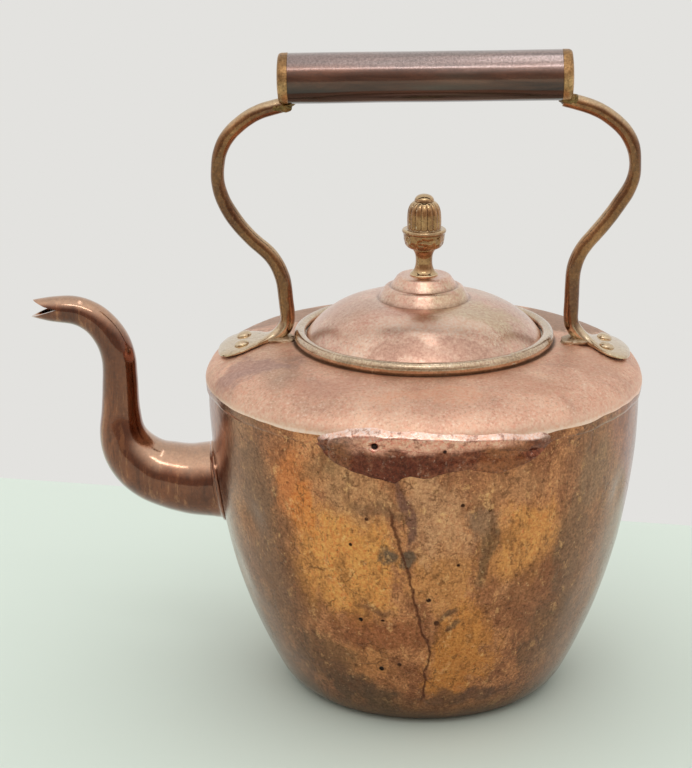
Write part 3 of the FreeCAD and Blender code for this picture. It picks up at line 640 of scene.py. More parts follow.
# spelter run into the joint and left as it froze: dark olive brown and rough
brazeFinish = {
    "name": "brazedBrass", "grit": (0.8, 0.5), "mottle": 3, "cloud": 5,
    "tones": ((0.32, "#5f4d2f"), (0.50, "#7f6841"), (0.72, "#a98d5f")),
    "tarnish": ("#4b3d26", 0.7), "speck": 0.8, "specks": ("#33291a", 0.6), "glints": ("#c9ad7c", 0.4),
    "rough": (0.3, 0.5), "planish": (2, 0.3), "grain": 0.1,
}
# soft solder left where the joints were wiped: grey tan, lumpy and dull
solderFinish = {
    "name": "wipedSolder", "grit": (0.9, 0.5), "mottle": 5, "cloud": 8,
    "tones": ((0.32, "#aa937b"), (0.50, "#cdb89e"), (0.72, "#eddbc2")),
    "tarnish": ("#a68b6b", 0.8), "speck": 0.9, "specks": ("#725d45", 0.6), "glints": ("#fff2dc", 0.4),
    "rough": (0.42, 0.6), "planish": (3, 0.3), "grain": 0.1,
}
copperWall = makeFinish(wallFinish)
copperShoulder = makeFinish(shoulderFinish)
copperPatch = makeFinish(patchFinish)
copperLid = makeFinish(lidFinish)
copperSpout = makeFinish(spoutFinish)
copperGrip = makeFinish(gripFinish)
brassRing = makeFinish(ringFinish)
brassCap = makeFinish(capFinish)
brassArms = makeFinish(armFinish)
brassFinial = makeFinish(finialFinish)
tin = makeFinish(tinFinish)
solder = makeFinish(solderFinish)
braze = makeFinish(brazeFinish)
print("materials made")

# the pot's own curves, in millimetres
pot = {
    "seamRadius": 67.0, "bellyHeight": 67.0, "sheet": 1.2, "mouthInset": 7.1,
    "landRadius": 59.0, "crownDrop": 2.9, "skirtDrop": 4.0,
    "sag": 0.55, "sagSize": 46.0, "spoutClear": 34.0, "footCalm": (11, 26), "mouthCalm": (1, 14),
}
edgeHeight = shoulderLow + pot["skirtDrop"]
mouthInside = mouthRadius - pot["mouthInset"]
spoutSeat = 93.0  # height at which the spout's axis meets the wall


def wallShare(height):
    low, middle, high = wallLow, pot["bellyHeight"], wallTop
    bend, rate = low - 2 * middle + high, 2 * (middle - low)
    return 2 * (height - low) / (rate + math.sqrt(max(0.0, rate**2 + 4 * bend * (height - low))))


def wallAt(height):
    return wallRadius - (wallRadius - pot["seamRadius"]) * (1 - wallShare(height)) ** 2


def shoulderAt(radius):  # height of the shoulder's outside
    land, edge = pot["landRadius"], bodyRadius
    if radius <= land:
        return shoulderHigh
    share = 1 - math.sqrt(max(0.0, 1 - (radius - land) / (edge - land)))
    crown = shoulderHigh - pot["crownDrop"]
    return shoulderHigh * (1 - share) ** 2 + crown * 2 * share * (1 - share) + edgeHeight * share**2


def shoulderRadius(height):  # the same curve the other way round
    fall = max(0.0, shoulderHigh - height)
    crown = shoulderHigh - pot["crownDrop"]
    bend, rate = shoulderHigh - 2 * crown + edgeHeight, 2 * (crown - shoulderHigh)
    share = (-rate - math.sqrt(max(0.0, rate**2 - 4 * bend * fall))) / (2 * bend)
    return pot["landRadius"] + (bodyRadius - pot["landRadius"]) * (1 - (1 - share) ** 2)


def bodySag(x, y, z):  # slow swells and flats that the hammer and a hundred years have left
    swell = uneven(x, y, z, (1.0, pot["sagSize"], 3.1), (0.45, pot["sagSize"] / 2.3, 7.7))
    spout = math.dist((x, y, z), (-wallAt(spoutSeat), 0, spoutSeat))
    calm = ease(*pot["footCalm"], z) * ease(pot["spoutClear"] * 0.55, pot["spoutClear"], spout)
    if z > edgeHeight:
        near, far = pot["mouthCalm"]
        calm *= ease(mouthRadius + near, mouthRadius + far, math.hypot(x, y))
    return pot["sag"] * swell * calm


# base pan: dished floor with a flange up inside the wall
basePlan = {"flat": 54.0, "thick": 1.6, "inset": 1.3, "flange": 1.0, "flangeHeights": (2, 4.5, 7),
            "corner": 5.3, "segments": 320, "ripple": (0.08, 15, 2.9), "flatBelow": (0.2, 3)}


def makeBase():
    flat, thick, inset, seam = basePlan["flat"], basePlan["thick"], basePlan["inset"], pot["seamRadius"]
    inner = inset + basePlan["flange"]
    corner = seam - basePlan["corner"]
    heights = [wallLow + rise for rise in basePlan["flangeHeights"]]
    outside = chain(straight((0, 0), (flat, 0), 14), bow((flat, 0), (corner, 0), (seam, wallLow), 18))
    shelf = [(seam - inset, wallLow)] + [(wallAt(z) - inset, z) for z in heights]
    back = [(wallAt(z) - inner, z) for z in reversed(heights)]
    floor = bow((seam - inner, wallLow), (corner - inner, thick), (flat - thick, thick), 12)
    middle = straight((flat - thick, thick), (0, thick), 8)[1:]
    profile = solidProfile(outside + shelf + back + floor + middle)

    def relief(x, y, z):
        return uneven(x, y, z, basePlan["ripple"]) * ease(*basePlan["flatBelow"], z)

    rows = turnedRows(profile, aroundAxis(basePlan["segments"]), relief)
    piece = skin("basePan", rows, [copperWall, tin], closed=False, liningFrom=len(outside) + 2)
    seat(piece, "kettle", "copper_wall", "base_pan")


# wall, with dents, the crack's groove and pits
wallPlan = {
    "rows": 130, "segments": 376, "crowd": 0.68, "ripple": (0.10, 12, 1.7),
    "crackReach": 40, "crackShake": (0.8, 6, 4.2),
    "groove": (0.45, 0.9), "lip": (0.25, 1.6, 2.4),  # depth or rise, half width, how far off the crack
    "pit": (0.6, math.sqrt(0.9)), "dentSpread": 0.6,
    "port": {"radius": 14.4, "depth": 24, "tilt": 8.6, "sides": 64},
    "dents": (  # degrees, height, size, depth
        (-52, 96, 13, 0.9), (38, 58, 16, 0.8), (64, 104, 14, 0.9), (-70, 60, 18, 0.9), (96, 84, 20, 1.0),
        (150, 70, 22, 1.1), (-128, 100, 18, 0.9), (205, 110, 16, 0.8), (8, 30, 12, 0.5)),
}


def wallRelief(x, y, z):
    push = bodySag(x, y, z) + uneven(x, y, z, wallPlan["ripple"])
    angle = math.atan2(x, -y)
    arc = angle * wallRadius
    for turn, height, size, depth in wallPlan["dents"]:
        gap = (angle - math.radians(turn) + math.pi) % (2 * math.pi) - math.pi
        push -= depth * hump(math.hypot(gap * wallRadius, z - height), size * wallPlan["dentSpread"])
    if crack["line"][0][0] < z < crack["line"][-1][0] and abs(arc) < wallPlan["crackReach"]:
        off = arc - along(crack["line"], z) + uneven(0, 0, z, wallPlan["crackShake"])
        depth, half = wallPlan["groove"]
        rise, spread, away = wallPlan["lip"]
        push -= depth * hump(off, half) - rise * hump(off - away, spread)
    depth, spread = wallPlan["pit"]
    for pitArc, height, wide, _, _, _ in wallStains:
        if wide < pitWide:
            push -= depth * hump(math.hypot(arc - pitArc, z - height), spread)
    return push


def makeWall():
    count, port = wallPlan["rows"], wallPlan["port"]
    foot, belly = (pot["seamRadius"], wallLow), (wallRadius, pot["bellyHeight"])
    outside = bow(foot, belly, (wallRadius, wallTop), count)
    angles = aroundAxis(wallPlan["segments"], wallPlan["crowd"])
    rows = turnedRows(sheetProfile(outside, pot["sheet"]), angles, wallRelief)
    wall = skin("bodyWall", rows, [copperWall, tin], liningFrom=count + 1)
    tilt, radius = math.radians(port["tilt"]), port["radius"] * mm
    way = Vector((-math.cos(tilt), 0, -math.sin(tilt)))
    mesh = bpy.data.meshes.new("port")
    work = bmesh.new()
    bmesh.ops.create_cone(work, cap_ends=True, segments=port["sides"], radius1=radius, radius2=radius,
                          depth=port["depth"] * mm)
    bmesh.ops.transform(work, matrix=way.to_track_quat("Z", "Y").to_matrix().to_4x4(), verts=work.verts)
    bmesh.ops.translate(work, vec=Vector((-wallAt(spoutSeat), 0, spoutSeat)) * mm, verts=work.verts)
    work.to_mesh(mesh)
    work.free()
    cutter = bpy.data.objects.new("port", mesh)
    bpy.context.scene.collection.objects.link(cutter)
    cutAway(wall, cutter)
    seat(wall, "kettle", "copper_wall", "body_wall")


# shoulder, raised from one sheet, its edge turned down over the wall
shoulderPlan = {
    "climb": 8, "dome": 80, "land": 8, "segments": 480, "crowd": 0.35, "proud": 0.35, "pole": 2.2,
    "ripples": ((0.12, 9, 5.5), (0.05, 4, 9.1)), "calm": 6, "bend": (0.75, 10, 2.2), "bendRows": (17, 10),
    "lip": (0.8, 1.3, 0.35), "lipRipple": (0.5, 13, 7.3),  # above the edge, half height, how far out
}


def shoulderRelief(x, y, z):
    calm = ease(mouthRadius, mouthRadius + shoulderPlan["calm"], math.hypot(x, y))
    push = bodySag(x, y, z) + calm * uneven(x, y, z, *shoulderPlan["ripples"])
    level, half, out = shoulderPlan["lip"]
    lip = hump(z - shoulderLow - level, half)  # the beaten edge stands out here and there
    return push + lip * (out + uneven(x, y, 0, shoulderPlan["lipRipple"]))


def makeShoulder():
    edge = (bodyRadius, edgeHeight)
    land = (pot["landRadius"], shoulderHigh)
    skirt = (wallRadius + shoulderPlan["proud"], shoulderLow)  # beaten thin
    climb = bow(skirt, (bodyRadius, shoulderLow + shoulderPlan["pole"]), edge, shoulderPlan["climb"])
    dome = bow(edge, (bodyRadius, shoulderHigh - pot["crownDrop"]), land, shoulderPlan["dome"])
    outside = chain(climb, dome, straight(land, (mouthInside, shoulderHigh), shoulderPlan["land"]))
    angles = aroundAxis(shoulderPlan["segments"], shoulderPlan["crowd"])
    rows = turnedRows(sheetProfile(outside, pot["sheet"]), angles, shoulderRelief)
    for index, row in enumerate(rows):  # the bend is set by eye, so it wanders
        amount = ease(*shoulderPlan["bendRows"], min(index, len(rows) - 1 - index))
        for point in row if amount else ():
            point.z += amount * mm * uneven(point.x / mm, point.y / mm, 0, shoulderPlan["bend"])
    finishes = [copperShoulder, tin, copperWall]
    shoulder = skin("shoulderSheet", rows, finishes, liningFrom=len(outside), skirtTo=shoulderPlan["climb"])
    seat(shoulder, "kettle", "copper_shoulder", "shoulder")


# patch: the shoulder's front edge beaten down and soldered over the wall, with a wavy lip
patch = {
    "left": -48.0, "right": 58.0, "columns": 340, "rows": 72, "blend": 3.0, "ends": 0.09, "bed": 0.6,
    "lip": (  # arc, height
        (-48, 141.0), (-45, 139.6), (-43, 137.0), (-38.5, 133.8), (-31, 129.8), (-22, 128.0), (-15, 126.6),
        (-11.7, 126.2), (-8.5, 128.4), (-5, 129.3), (0, 128.6), (4, 128.7), (10, 131.0), (19.6, 131.9),
        (26, 130.6), (32.7, 129.4), (41.7, 131.8), (48, 134.0), (54, 137.2), (58, 141.0)),
    "ridge": ((-48, 142.0), (-44, 143.0), (-39, 144.4), (-32, 146.2), (-18, 147.2), (-1, 146.2), (15, 145.6),
              (32, 145.0), (44, 143.6), (54, 142.6), (58, 142.0)),
    "lipRipple": (0.5, 5, 6.4), "ridgeRipple": (0.8, 12, 8.8), "ripples": ((0.7, 9, 1.2), (0.2, 3.4, 4.9)),
    "waist": 7.5, "roll": 1.5, "crest": 1.6, "least": 0.2, "step": (4, 1),
    "bumps": (  # arc, height, size, depth
        (-30, 136, 7, 0.8), (-15, 133, 7, 0.5), (4, 135, 6, 0.6), (20, 135.5, 7, 0.6), (36, 135, 8, 0.6),
        (-8, 143.5, 6, 0.5), (10, 143, 5, 0.5), (26, 142, 6, 0.5)),
    "hole": (-20, 142.6, 1.7, 1.5), "rim": (0.35, 0.9), "fold": (-33.0, 139.5, 8.0, 0.5), "foldHalf": 0.8,
    "foldTo": 4,
}


def potOutside(height):  # outside of shoulder and wall with the step between them filled
    if height >= edgeHeight:
        return shoulderRadius(height)
    below, above = patch["step"]
    filled = ease(shoulderLow - below, shoulderLow + above, height)
    return mix(wallAt(min(height, wallTop)), bodyRadius, filled)


def patchThickness(arc, height, low, ridge):
    under, waist = ridge - height, patch["waist"]
    rollTop = waist * 0.7
    share = min(1.0, max(0.0, (under - rollTop) / (ridge - low - rollTop + 1.5)))
    thick = patch["crest"] * (1 - 0.5 * ease(0, waist, under))
    thick += patch["roll"] * math.sin(math.pi * share) ** 0.8
    thick += uneven(arc, height, 0, *patch["ripples"])
    for bumpArc, bumpHeight, size, depth in patch["bumps"]:
        thick -= depth * hump(math.hypot(arc - bumpArc, height - bumpHeight), size * 0.5)
    holeArc, holeHeight, size, depth = patch["hole"]
    away = math.hypot(arc - holeArc, height - holeHeight)
    rise, half = patch["rim"]
    thick += rise * hump(away - 1.5 * size, half) - depth * hump(away, size * 0.7)
    foldArc, foldHeight, radius, depth = patch["fold"]
    if arc < foldArc + patch["foldTo"]:
        thick -= depth * hump(math.hypot(arc - foldArc, height - foldHeight) - radius, patch["foldHalf"])
    return max(patch["least"], thick)


def makePatch():
    columns, rows = patch["columns"], patch["rows"]
    loops = []
    for c in range(columns + 1):
        arc = mix(patch["left"], patch["right"], c / columns)
        low = along(patch["lip"], arc) + uneven(arc, 0, 0, patch["lipRipple"])
        ridge = along(patch["ridge"], arc) + uneven(arc, 0, 0, patch["ridgeRipple"])
        top = ridge + patch["blend"]
        ends = ease(0, patch["ends"], c / columns) * ease(1, 1 - patch["ends"], c / columns)
        angle = arc / bodyRadius
        outward = Vector((math.sin(angle), -math.cos(angle), 0))
        face, bed = [], []
        for r in range(rows + 1):
            share = r / rows
            height = mix(low, top, share)
            radius = potOutside(height)
            radius += bodySag(outward.x * radius, outward.y * radius, height)
            fade = math.sqrt(ease(0.0, 0.05, share)) * ease(top, ridge - 0.2, height)
            lift = patchThickness(arc, height, low, ridge) * fade * ends + mix(-0.3, 0.1, ends * fade)
            face.append((outward * (radius + lift) + up * height) * mm)
            bed.append((outward * (radius - patch["bed"]) + up * height) * mm)
        loops.append(face + bed[::-1])
    piece = skin("seamPatch", capped(loops), [copperPatch], closed=False)
    seat(piece, "kettle", "copper_patch", "seam_patch")


# mouth ring: a round brass bead with a ledge for the lid, sizes in from its outside and up from its foot
ringPlan = {
    "foot": 0.8, "bulge": (0.95, 2.6), "brow": 0.75, "browPole": (1.0, 0.05), "crown": 2.5, "bead": 5.0,
    "drop": 3.5, "ledge": 1.6, "segments": 420, "crowd": 0.2, "ripples": ((0.10, 14, 6.1), (0.05, 4, 3.3)),
    "knock": (38, -42, math.sqrt(6.0), 0.5),  # x, y, size and depth of the dent on the front right
}


def makeRing():
    foot, brow = mouthRadius - ringPlan["foot"], (mouthRadius - ringPlan["brow"], ringHigh - ringPlan["brow"])
    crown, bead = mouthRadius - ringPlan["crown"], mouthRadius - ringPlan["bead"]
    ledge, drop = ringLow + ringPlan["ledge"], ringLow + ringPlan["drop"]
    (bulgeOut, bulgeUp), (poleOut, poleUp) = ringPlan["bulge"], ringPlan["browPole"]
    points = chain(straight((mouthInside, ringLow), (foot, ringLow), 4),
                   bow((foot, ringLow), (mouthRadius + bulgeOut, ringLow + bulgeUp), brow, 12),
                   bow(brow, (crown + poleOut, ringHigh + poleUp), (crown, ringHigh), 6),
                   bow((crown, ringHigh), (bead, ringHigh), (bead, drop), 10),
                   straight((bead, drop), (bead, ledge), 2), straight((bead, ledge), (mouthInside, ledge), 2))

    def relief(x, y, z):
        if z <= ledge:
            return 0.0
        knockX, knockY, size, depth = ringPlan["knock"]
        return uneven(x, y, z, *ringPlan["ripples"]) - depth * hump(math.hypot(x - knockX, y - knockY), size)

    rows = turnedRows(solidProfile(points), aroundAxis(ringPlan["segments"], ringPlan["crowd"]), relief)
    seat(skin("mouthRing", rows, [brassRing]), "kettle", "brass_ring", "mouth_ring")


# lid: spun dome with two rolled steps under the finial, each a plain sloping front with a tight brow
lidPlan = {
    "crown": (42.0, 1.6), "lower": (20.5, 5.6), "upper": (15.0, 5.0), "tread": 0.8, "foot": 6.6, "hole": 2.45,
    "front": (2.3, 1.7), "browPole": 3.2, "browEnd": 4.6, "sheet": 1.0, "edge": 1.6, "rim": (0.2, 0.6),
    "rimIn": 0.15, "segments": 360, "crowd": 0.2, "ripples": ((0.35, 26, 4.4), (0.12, 11, 8.1)),
    "calmRim": 6, "calmStep": (-2, 8),
    "dent": (27, -16, math.sqrt(90.0), 0.5),  # x, y, size and depth of the dent on the right
}


def lidRun(inset, edge):
    step = lidHigh - lidPlan["upper"][1]
    floor = step - lidPlan["lower"][1]
    wide, narrow = lidPlan["lower"][0] - inset, lidPlan["upper"][0] - inset
    tread, foot, (crown, crownDrop) = lidPlan["tread"], lidPlan["foot"], lidPlan["crown"]
    run = bow(edge, (crown - inset / 2, floor - crownDrop - inset), (wide + tread, floor - inset), 70)
    for radius, low, high, inner in ((wide, floor, step, narrow + tread), (narrow, step, lidHigh, foot)):
        top = high - inset
        brow = (radius - lidPlan["front"][0], high - lidPlan["front"][1] - inset)
        end = (radius - lidPlan["browEnd"], top)
        run += straight((radius, low - inset), brow, 4)
        run += bow(brow, (radius - lidPlan["browPole"], top), end, 8)[1:]
        if inner < end[0] - 0.1:
            run += straight(end, (inner, top), 3)[1:]
    return run + straight((foot, lidHigh - inset), (lidPlan["hole"], lidHigh - inset), 3)[1:]


def makeLid():
    rim = [(lidRadius, lidLow + rise) for rise in lidPlan["rim"]]
    outside = rim + lidRun(0, (lidRadius - lidPlan["rimIn"], lidLow + lidPlan["sheet"]))
    inside = lidRun(lidPlan["sheet"], (lidRadius - lidPlan["edge"], lidLow))
    profile = solidProfile(outside + inside[::-1] + [(lidRadius - lidPlan["rim"][0], lidLow)])

    def relief(x, y, z):
        radius = math.hypot(x, y)
        near, far = (lidPlan["lower"][0] + off for off in lidPlan["calmStep"])
        calm = ease(lidRadius, lidRadius - lidPlan["calmRim"], radius) * ease(near, far, radius)
        dentX, dentY, size, depth = lidPlan["dent"]
        dent = depth * hump(math.hypot(x - dentX, y - dentY), size)
        return calm * (uneven(x, y, z, *lidPlan["ripples"]) - dent)

    rows = turnedRows(profile, aroundAxis(lidPlan["segments"], lidPlan["crowd"]), relief)
    piece = skin("lidDome", rows, [copperLid, tin], liningFrom=len(outside))
    seat(piece, "lid", "copper_lid", "lid_dome")


# finial: acorn of raised lobes in a rimmed cup on a waisted stem, as radius and height above the lid's top
finialPlan = {
    "foot": ((6.2, 0), (6.35, 0.35)), "neck": ((5.35, 11.7), (5.35, 12.05)),
    "rim": ((8.0, 20.9), (7.6, 21.0)),
    "stem": (((6.1, 0.7), (3.75, 2.2), (3.7, 6.2), 14), ((3.7, 6.8), (3.75, 10.0), (5.1, 11.4), 10)),
    "cup": (((5.6, 12.2), (8.5, 12.3), (9.0, 16.2), 16), ((9.05, 16.6), (9.3, 18.0), (9.3, 19.0), 6)),
    "bead": (8.9, 20.1, 0.95), "beadTurns": range(-60, 101, 16), "cleft": ((4.15, 33.5),),
    "acorn": (((7.45, 21.2), (7.75, 25.0), (7.4, 28.3), 22), ((7.4, 28.3), (6.9, 32.2), (4.5, 33.4), 26)),
    "tip": (((4.4, 33.7), (4.2, 35.3), (2.6, 36.1), 10), ((2.6, 36.1), (1.3, 36.7), (0, 36.65), 6)),
    "shank": 2.3, "shankRise": 0.3, "segments": 320, "ripple": (0.06, 5, 2.6),
    "lobes": 16, "lobeDepth": 0.5, "lobeRound": 0.6, "lobeStart": 0.06, "lobeEnd": 0.88,
    "band": (13.2, 18.6), "bandEdge": 1.0, "engraving": (1.6, 2.2, 5.7), "engraved": 0.22,
}


def makeFinial():
    plan, shank = finialPlan, finialPlan["shank"]
    beadRadius, beadHeight, bead = plan["bead"]
    turns = [math.radians(turn) for turn in plan["beadTurns"]]
    outline = [*plan["foot"], *bow(*plan["stem"][0]), *bow(*plan["stem"][1]), *plan["neck"]]
    outline += bow(*plan["cup"][0]) + bow(*plan["cup"][1])
    outline += [(beadRadius + bead * math.cos(turn), beadHeight + bead * math.sin(turn)) for turn in turns]
    outline += [*plan["rim"], *chain(*(bow(*run) for run in plan["acorn"]))]
    outline += [*plan["cleft"], *chain(*(bow(*run) for run in plan["tip"]))]
    below = straight((0, finialLow), (shank, finialLow), 2)
    below += straight((shank, finialLow + plan["shankRise"]), (shank, lidHigh), 3)
    points = below + [(radius, lidHigh + height) for radius, height in outline]
    base, top = plan["acorn"][0][0][1], plan["acorn"][1][2][1]

    def relief(x, y, z):
        height = z - lidHigh
        share = (height - base) / (top - base)
        push = uneven(x, y, z, plan["ripple"]) if height > 0 else 0.0
        if 0 < share < 1:
            groove = 1 - abs(math.cos(math.atan2(x, -y) * plan["lobes"] / 2)) ** plan["lobeRound"]
            fade = ease(0, plan["lobeStart"], share) * ease(1.0, plan["lobeEnd"], share)
            push -= plan["lobeDepth"] * groove * fade
        low, high = plan["band"]
        if low < height < high:  # worn engraving round the cup
            band = ease(low, low + plan["bandEdge"], height) * ease(high, high - plan["bandEdge"], height)
            tall, size, seed = plan["engraving"]
            push -= plan["engraved"] * band * ease(0.05, 0.35, ripple(x, y, z * tall, size, seed))
        return push

    rows = turnedRows(solidProfile(points), aroundAxis(plan["segments"]), relief)
    seat(skin("acornFinial", rows, [brassFinial], closed=False), "lid", "brass_finial", "finial")


def smoothed(values, rounds):  # hand bending has no hard change of curve
    for _ in range(rounds):
        middle = [(a + 2 * b + c) / 4 for a, b, c in zip(values, values[1:], values[2:])]
        values = values[:1] + middle + values[-1:]
    return values


# a route of straight runs with round corners, in the plane of the handle, as (x, z)
def bentRoute(points, shares, step):
    cornerSteps, rounds = 24, 6
    route = [points[0]]
    for before, corner, after, share in zip(points, points[1:], points[2:], shares):
        a, c, b = Vector(before), Vector(corner), Vector(after)
        setback = share * min((c - a).length, (b - c).length)
        start, end = c + (a - c).normalized() * setback, c + (b - c).normalized() * setback
        weight = math.cos((c - a).angle(b - c) / 2)  # makes the three-pole curve a true arc
        for k in range(cornerSteps + 1):
            t = k / cornerSteps
            parts = ((1 - t) ** 2, 2 * t * (1 - t) * weight, t * t)
            route.append(tuple((start * parts[0] + c * parts[1] + end * parts[2]) / sum(parts)))
    route.append(points[-1])
    lengths = [0.0]
    for a, b in zip(route, route[1:]):
        lengths.append(lengths[-1] + math.dist(a, b))
    count = int(lengths[-1] / step)
    places = [lengths[-1] * k / count for k in range(count + 1)]
    lines = [list(zip(lengths, values)) for values in zip(*route)]
    xs, zs = (smoothed([along(line, place) for place in places], rounds) for line in lines)
    return list(zip(xs, zs))


def tangents(route):
    ways = []
    for k in range(len(route)):
        a, b = route[max(0, k - 1)], route[min(len(route) - 1, k + 1)]
        ways.append(Vector((b[0] - a[0], 0, b[1] - a[1])).normalized())
    return ways


# spout: tapered gooseneck with the beak cut open
spoutPlan = {
    "standoff": 1.3, "reach": 43.3, "runIn": 13.0, "elbow": 7.5, "riser": 64.0, "crook": (12.7, 16.5),
    "tip": (39.4, 81.3),
    "tapers": ((0.0, 17.8), (0.10, 16.2), (0.21, 14.7), (0.30, 13.2), (0.39, 10.3), (0.47, 8.45), (0.66, 7.7),
               (0.80, 6.9), (0.93, 6.1), (0.97, 5.0), (1.0, 3.7)),  # share of the length, radius
    "bends": (0.48, 0.62, 0.48, 0.48), "sheet": 1.1, "sides": 72, "step": 1.0, "smoothing": 50, "tinStart": 8,
    "ripples": ((0.22, 17, 5.2), (0.08, 7, 1.9)), "calm": (0.06, 0.95), "squareTo": 0.09, "beakWide": 12,
    "beak": (  # the cut, as x and z from the tip
        (12.6, 0.7), (6.93, 1.722), (-4.0, 6.15), (-4.0, -5.535), (6.3, -1.435)),
}


def spoutRoute():
    share = wallShare(spoutSeat)
    rise = mix(pot["bellyHeight"] - wallLow, wallTop - pot["bellyHeight"], share)
    run = (wallRadius - pot["seamRadius"]) * (1 - share)
    outward = Vector((-rise, 0, -run)).normalized()
    base = Vector((-wallAt(spoutSeat), 0, spoutSeat)) + outward * spoutPlan["standoff"]
    riser, riserTop = base.x - spoutPlan["reach"], base.z + spoutPlan["riser"]
    (crookRun, crookRise), (tipReach, tipRise) = spoutPlan["crook"], spoutPlan["tip"]
    points = [(base.x, base.z), (base.x - spoutPlan["runIn"], base.z), (riser, base.z + spoutPlan["elbow"]),
              (riser, riserTop), (riser - crookRun, riserTop + crookRise),
              (riser - tipReach, base.z + tipRise)]
    return points, outward


def makeSpout():
    points, outward = spoutRoute()
    route = bentRoute(points, spoutPlan["bends"], spoutPlan["step"])
    last = len(route) - 1
    radii = smoothed([along(spoutPlan["tapers"], k / last) for k in range(last + 1)], spoutPlan["smoothing"])
    calmStart, calmEnd = spoutPlan["calm"]
    outer, inner = [], []
    for k, ((x, z), way) in enumerate(zip(route, tangents(route))):
        share = k / last
        way = outward.lerp(way, ease(0, spoutPlan["squareTo"], share)).normalized()
        over = Vector((way.z, 0, -way.x))
        ring, bore = [], []
        for s in range(spoutPlan["sides"]):
            turn = 2 * math.pi * s / spoutPlan["sides"]
            side = sideways * math.cos(turn) + over * math.sin(turn)
            spot = Vector((x, 0, z)) + side * radii[k]
            push = uneven(*spot, *spoutPlan["ripples"]) * ease(0, calmStart, share) * ease(1, calmEnd, share)
            ring.append((spot + side * push) * mm)
            bore.append((spot + side * (push - spoutPlan["sheet"])) * mm)
        outer.append(ring)
        inner.append(bore)
    tinFrom = len(outer) + spoutPlan["tinStart"]
    spout = skin("spoutTube", outer + inner[::-1], [copperSpout, tin], liningFrom=tinFrom)
    tipX, tipZ = route[-1]
    wide = spoutPlan["beakWide"]
    corners = [Vector((tipX + x, y, tipZ + z)) * mm for y in (-wide, wide) for x, z in spoutPlan["beak"]]
    count = len(spoutPlan["beak"])
    faces = [[k, (k + 1) % count, count + (k + 1) % count, count + k] for k in range(count)]
    faces += [list(range(count))[::-1], list(range(count, 2 * count))]
    mesh = bpy.data.meshes.new("beak")
    mesh.from_pydata(corners, [], faces)
    cutAway(spout, finished("beak", mesh))
    spout.data.set_sharp_from_angle(angle=crease)
    seat(spout, "kettle", "copper_spout", "spout")


# collar: the spout's flared root, soldered to the wall
collarPlan = {
    "sides": 144, "ripples": ((0.25, 4, 3.9), (0.12, 1.8, 8.2)), "calmBelow": 0.3,
    "profile": (  # radius, height off the wall
        (19.3, 0.1), (19.45, 0.5), (19.2, 1.1), (18.5, 1.5), (18.0, 1.75), (17.75, 2.3), (17.5, 3.4),
        (17.2, 4.6), (16.9, 4.7), (16.4, 4.2), (16.4, 0.1)),
}


def makeCollar():
    outward = spoutRoute()[1]
    rise = outward.cross(sideways)
    rows = []
    for radius, offset in collarPlan["profile"]:
        row = []
        for s in range(collarPlan["sides"]):
            turn = 2 * math.pi * s / collarPlan["sides"]
            spot = sideways * (radius * math.cos(turn)) + rise * (radius * math.sin(turn)) + up * spoutSeat
            spot.x = -math.sqrt(wallAt(spot.z) ** 2 - spot.y**2)
            bead = uneven(*spot, *collarPlan["ripples"]) if offset > collarPlan["calmBelow"] else 0.0
            row.append((spot + outward * (offset + bead)) * mm)
        rows.append(row)
    seat(skin("spoutCollar", rows, [copperSpout]), "kettle", "copper_spout", "spout_collar")


# handle: two brass rods, each forged out at the foot into a spade that follows the shoulder
handle = {
    "gripHeight": 279.2, "gripHalf": 64.5, "gripRadius": 11.1, "tilt": 0.8, "rod": 3.35, "footSheet": 2.4,
    "neck": 4.3, "half": 16.5, "tipMargin": 6.0, "tipLength": 8.5, "rivetSetback": 10.5, "rivetPitch": 14.0,
    "band": 5.0,
    "bend": 0.48, "step": 0.8, "sides": 48, "tipRise": 1.2, "tipSteps": 6, "lowLevel": 9, "lowReach": 95,
    "flatten": (-2, 11), "square": 0.55, "thinTip": 0.55, "proud": (0.15, 0.7, 4),
    # upper: out from and below the grip's end; lower: out from the mouth and above the shoulder
    "spoutSide": {"upper": ((-4.0, 12.0), (11.0, 16.0), (25.5, 28.7), (28.0, 49.7)),
                  "lower": ((23.2, 49.8), (5.2, 34.8), (2.4, 6.5), (7.6, 1.2))},
    "rear": {"upper": ((-4.0, 9.6), (11.5, 13.8), (26.5, 25.7), (28.8, 44.7)),
             "lower": ((21.7, 53.6), (8.2, 38.3), (7.4, 6.5), (12.8, 1.2))},
}
footTip = bodyRadius - handle["tipMargin"]
footWide = footTip - handle["tipLength"]
rivetCircle = footTip - handle["rivetSetback"]


def footHalf(radius, root):
    if radius <= footWide:
        return mix(handle["neck"], handle["half"], ease(root, footWide, radius) ** 1.15)
    share = min(1.0, (radius - footWide) / (footTip - footWide))
    return handle["half"] * (1 - (1 - math.sqrt(1 - share)) ** 2)


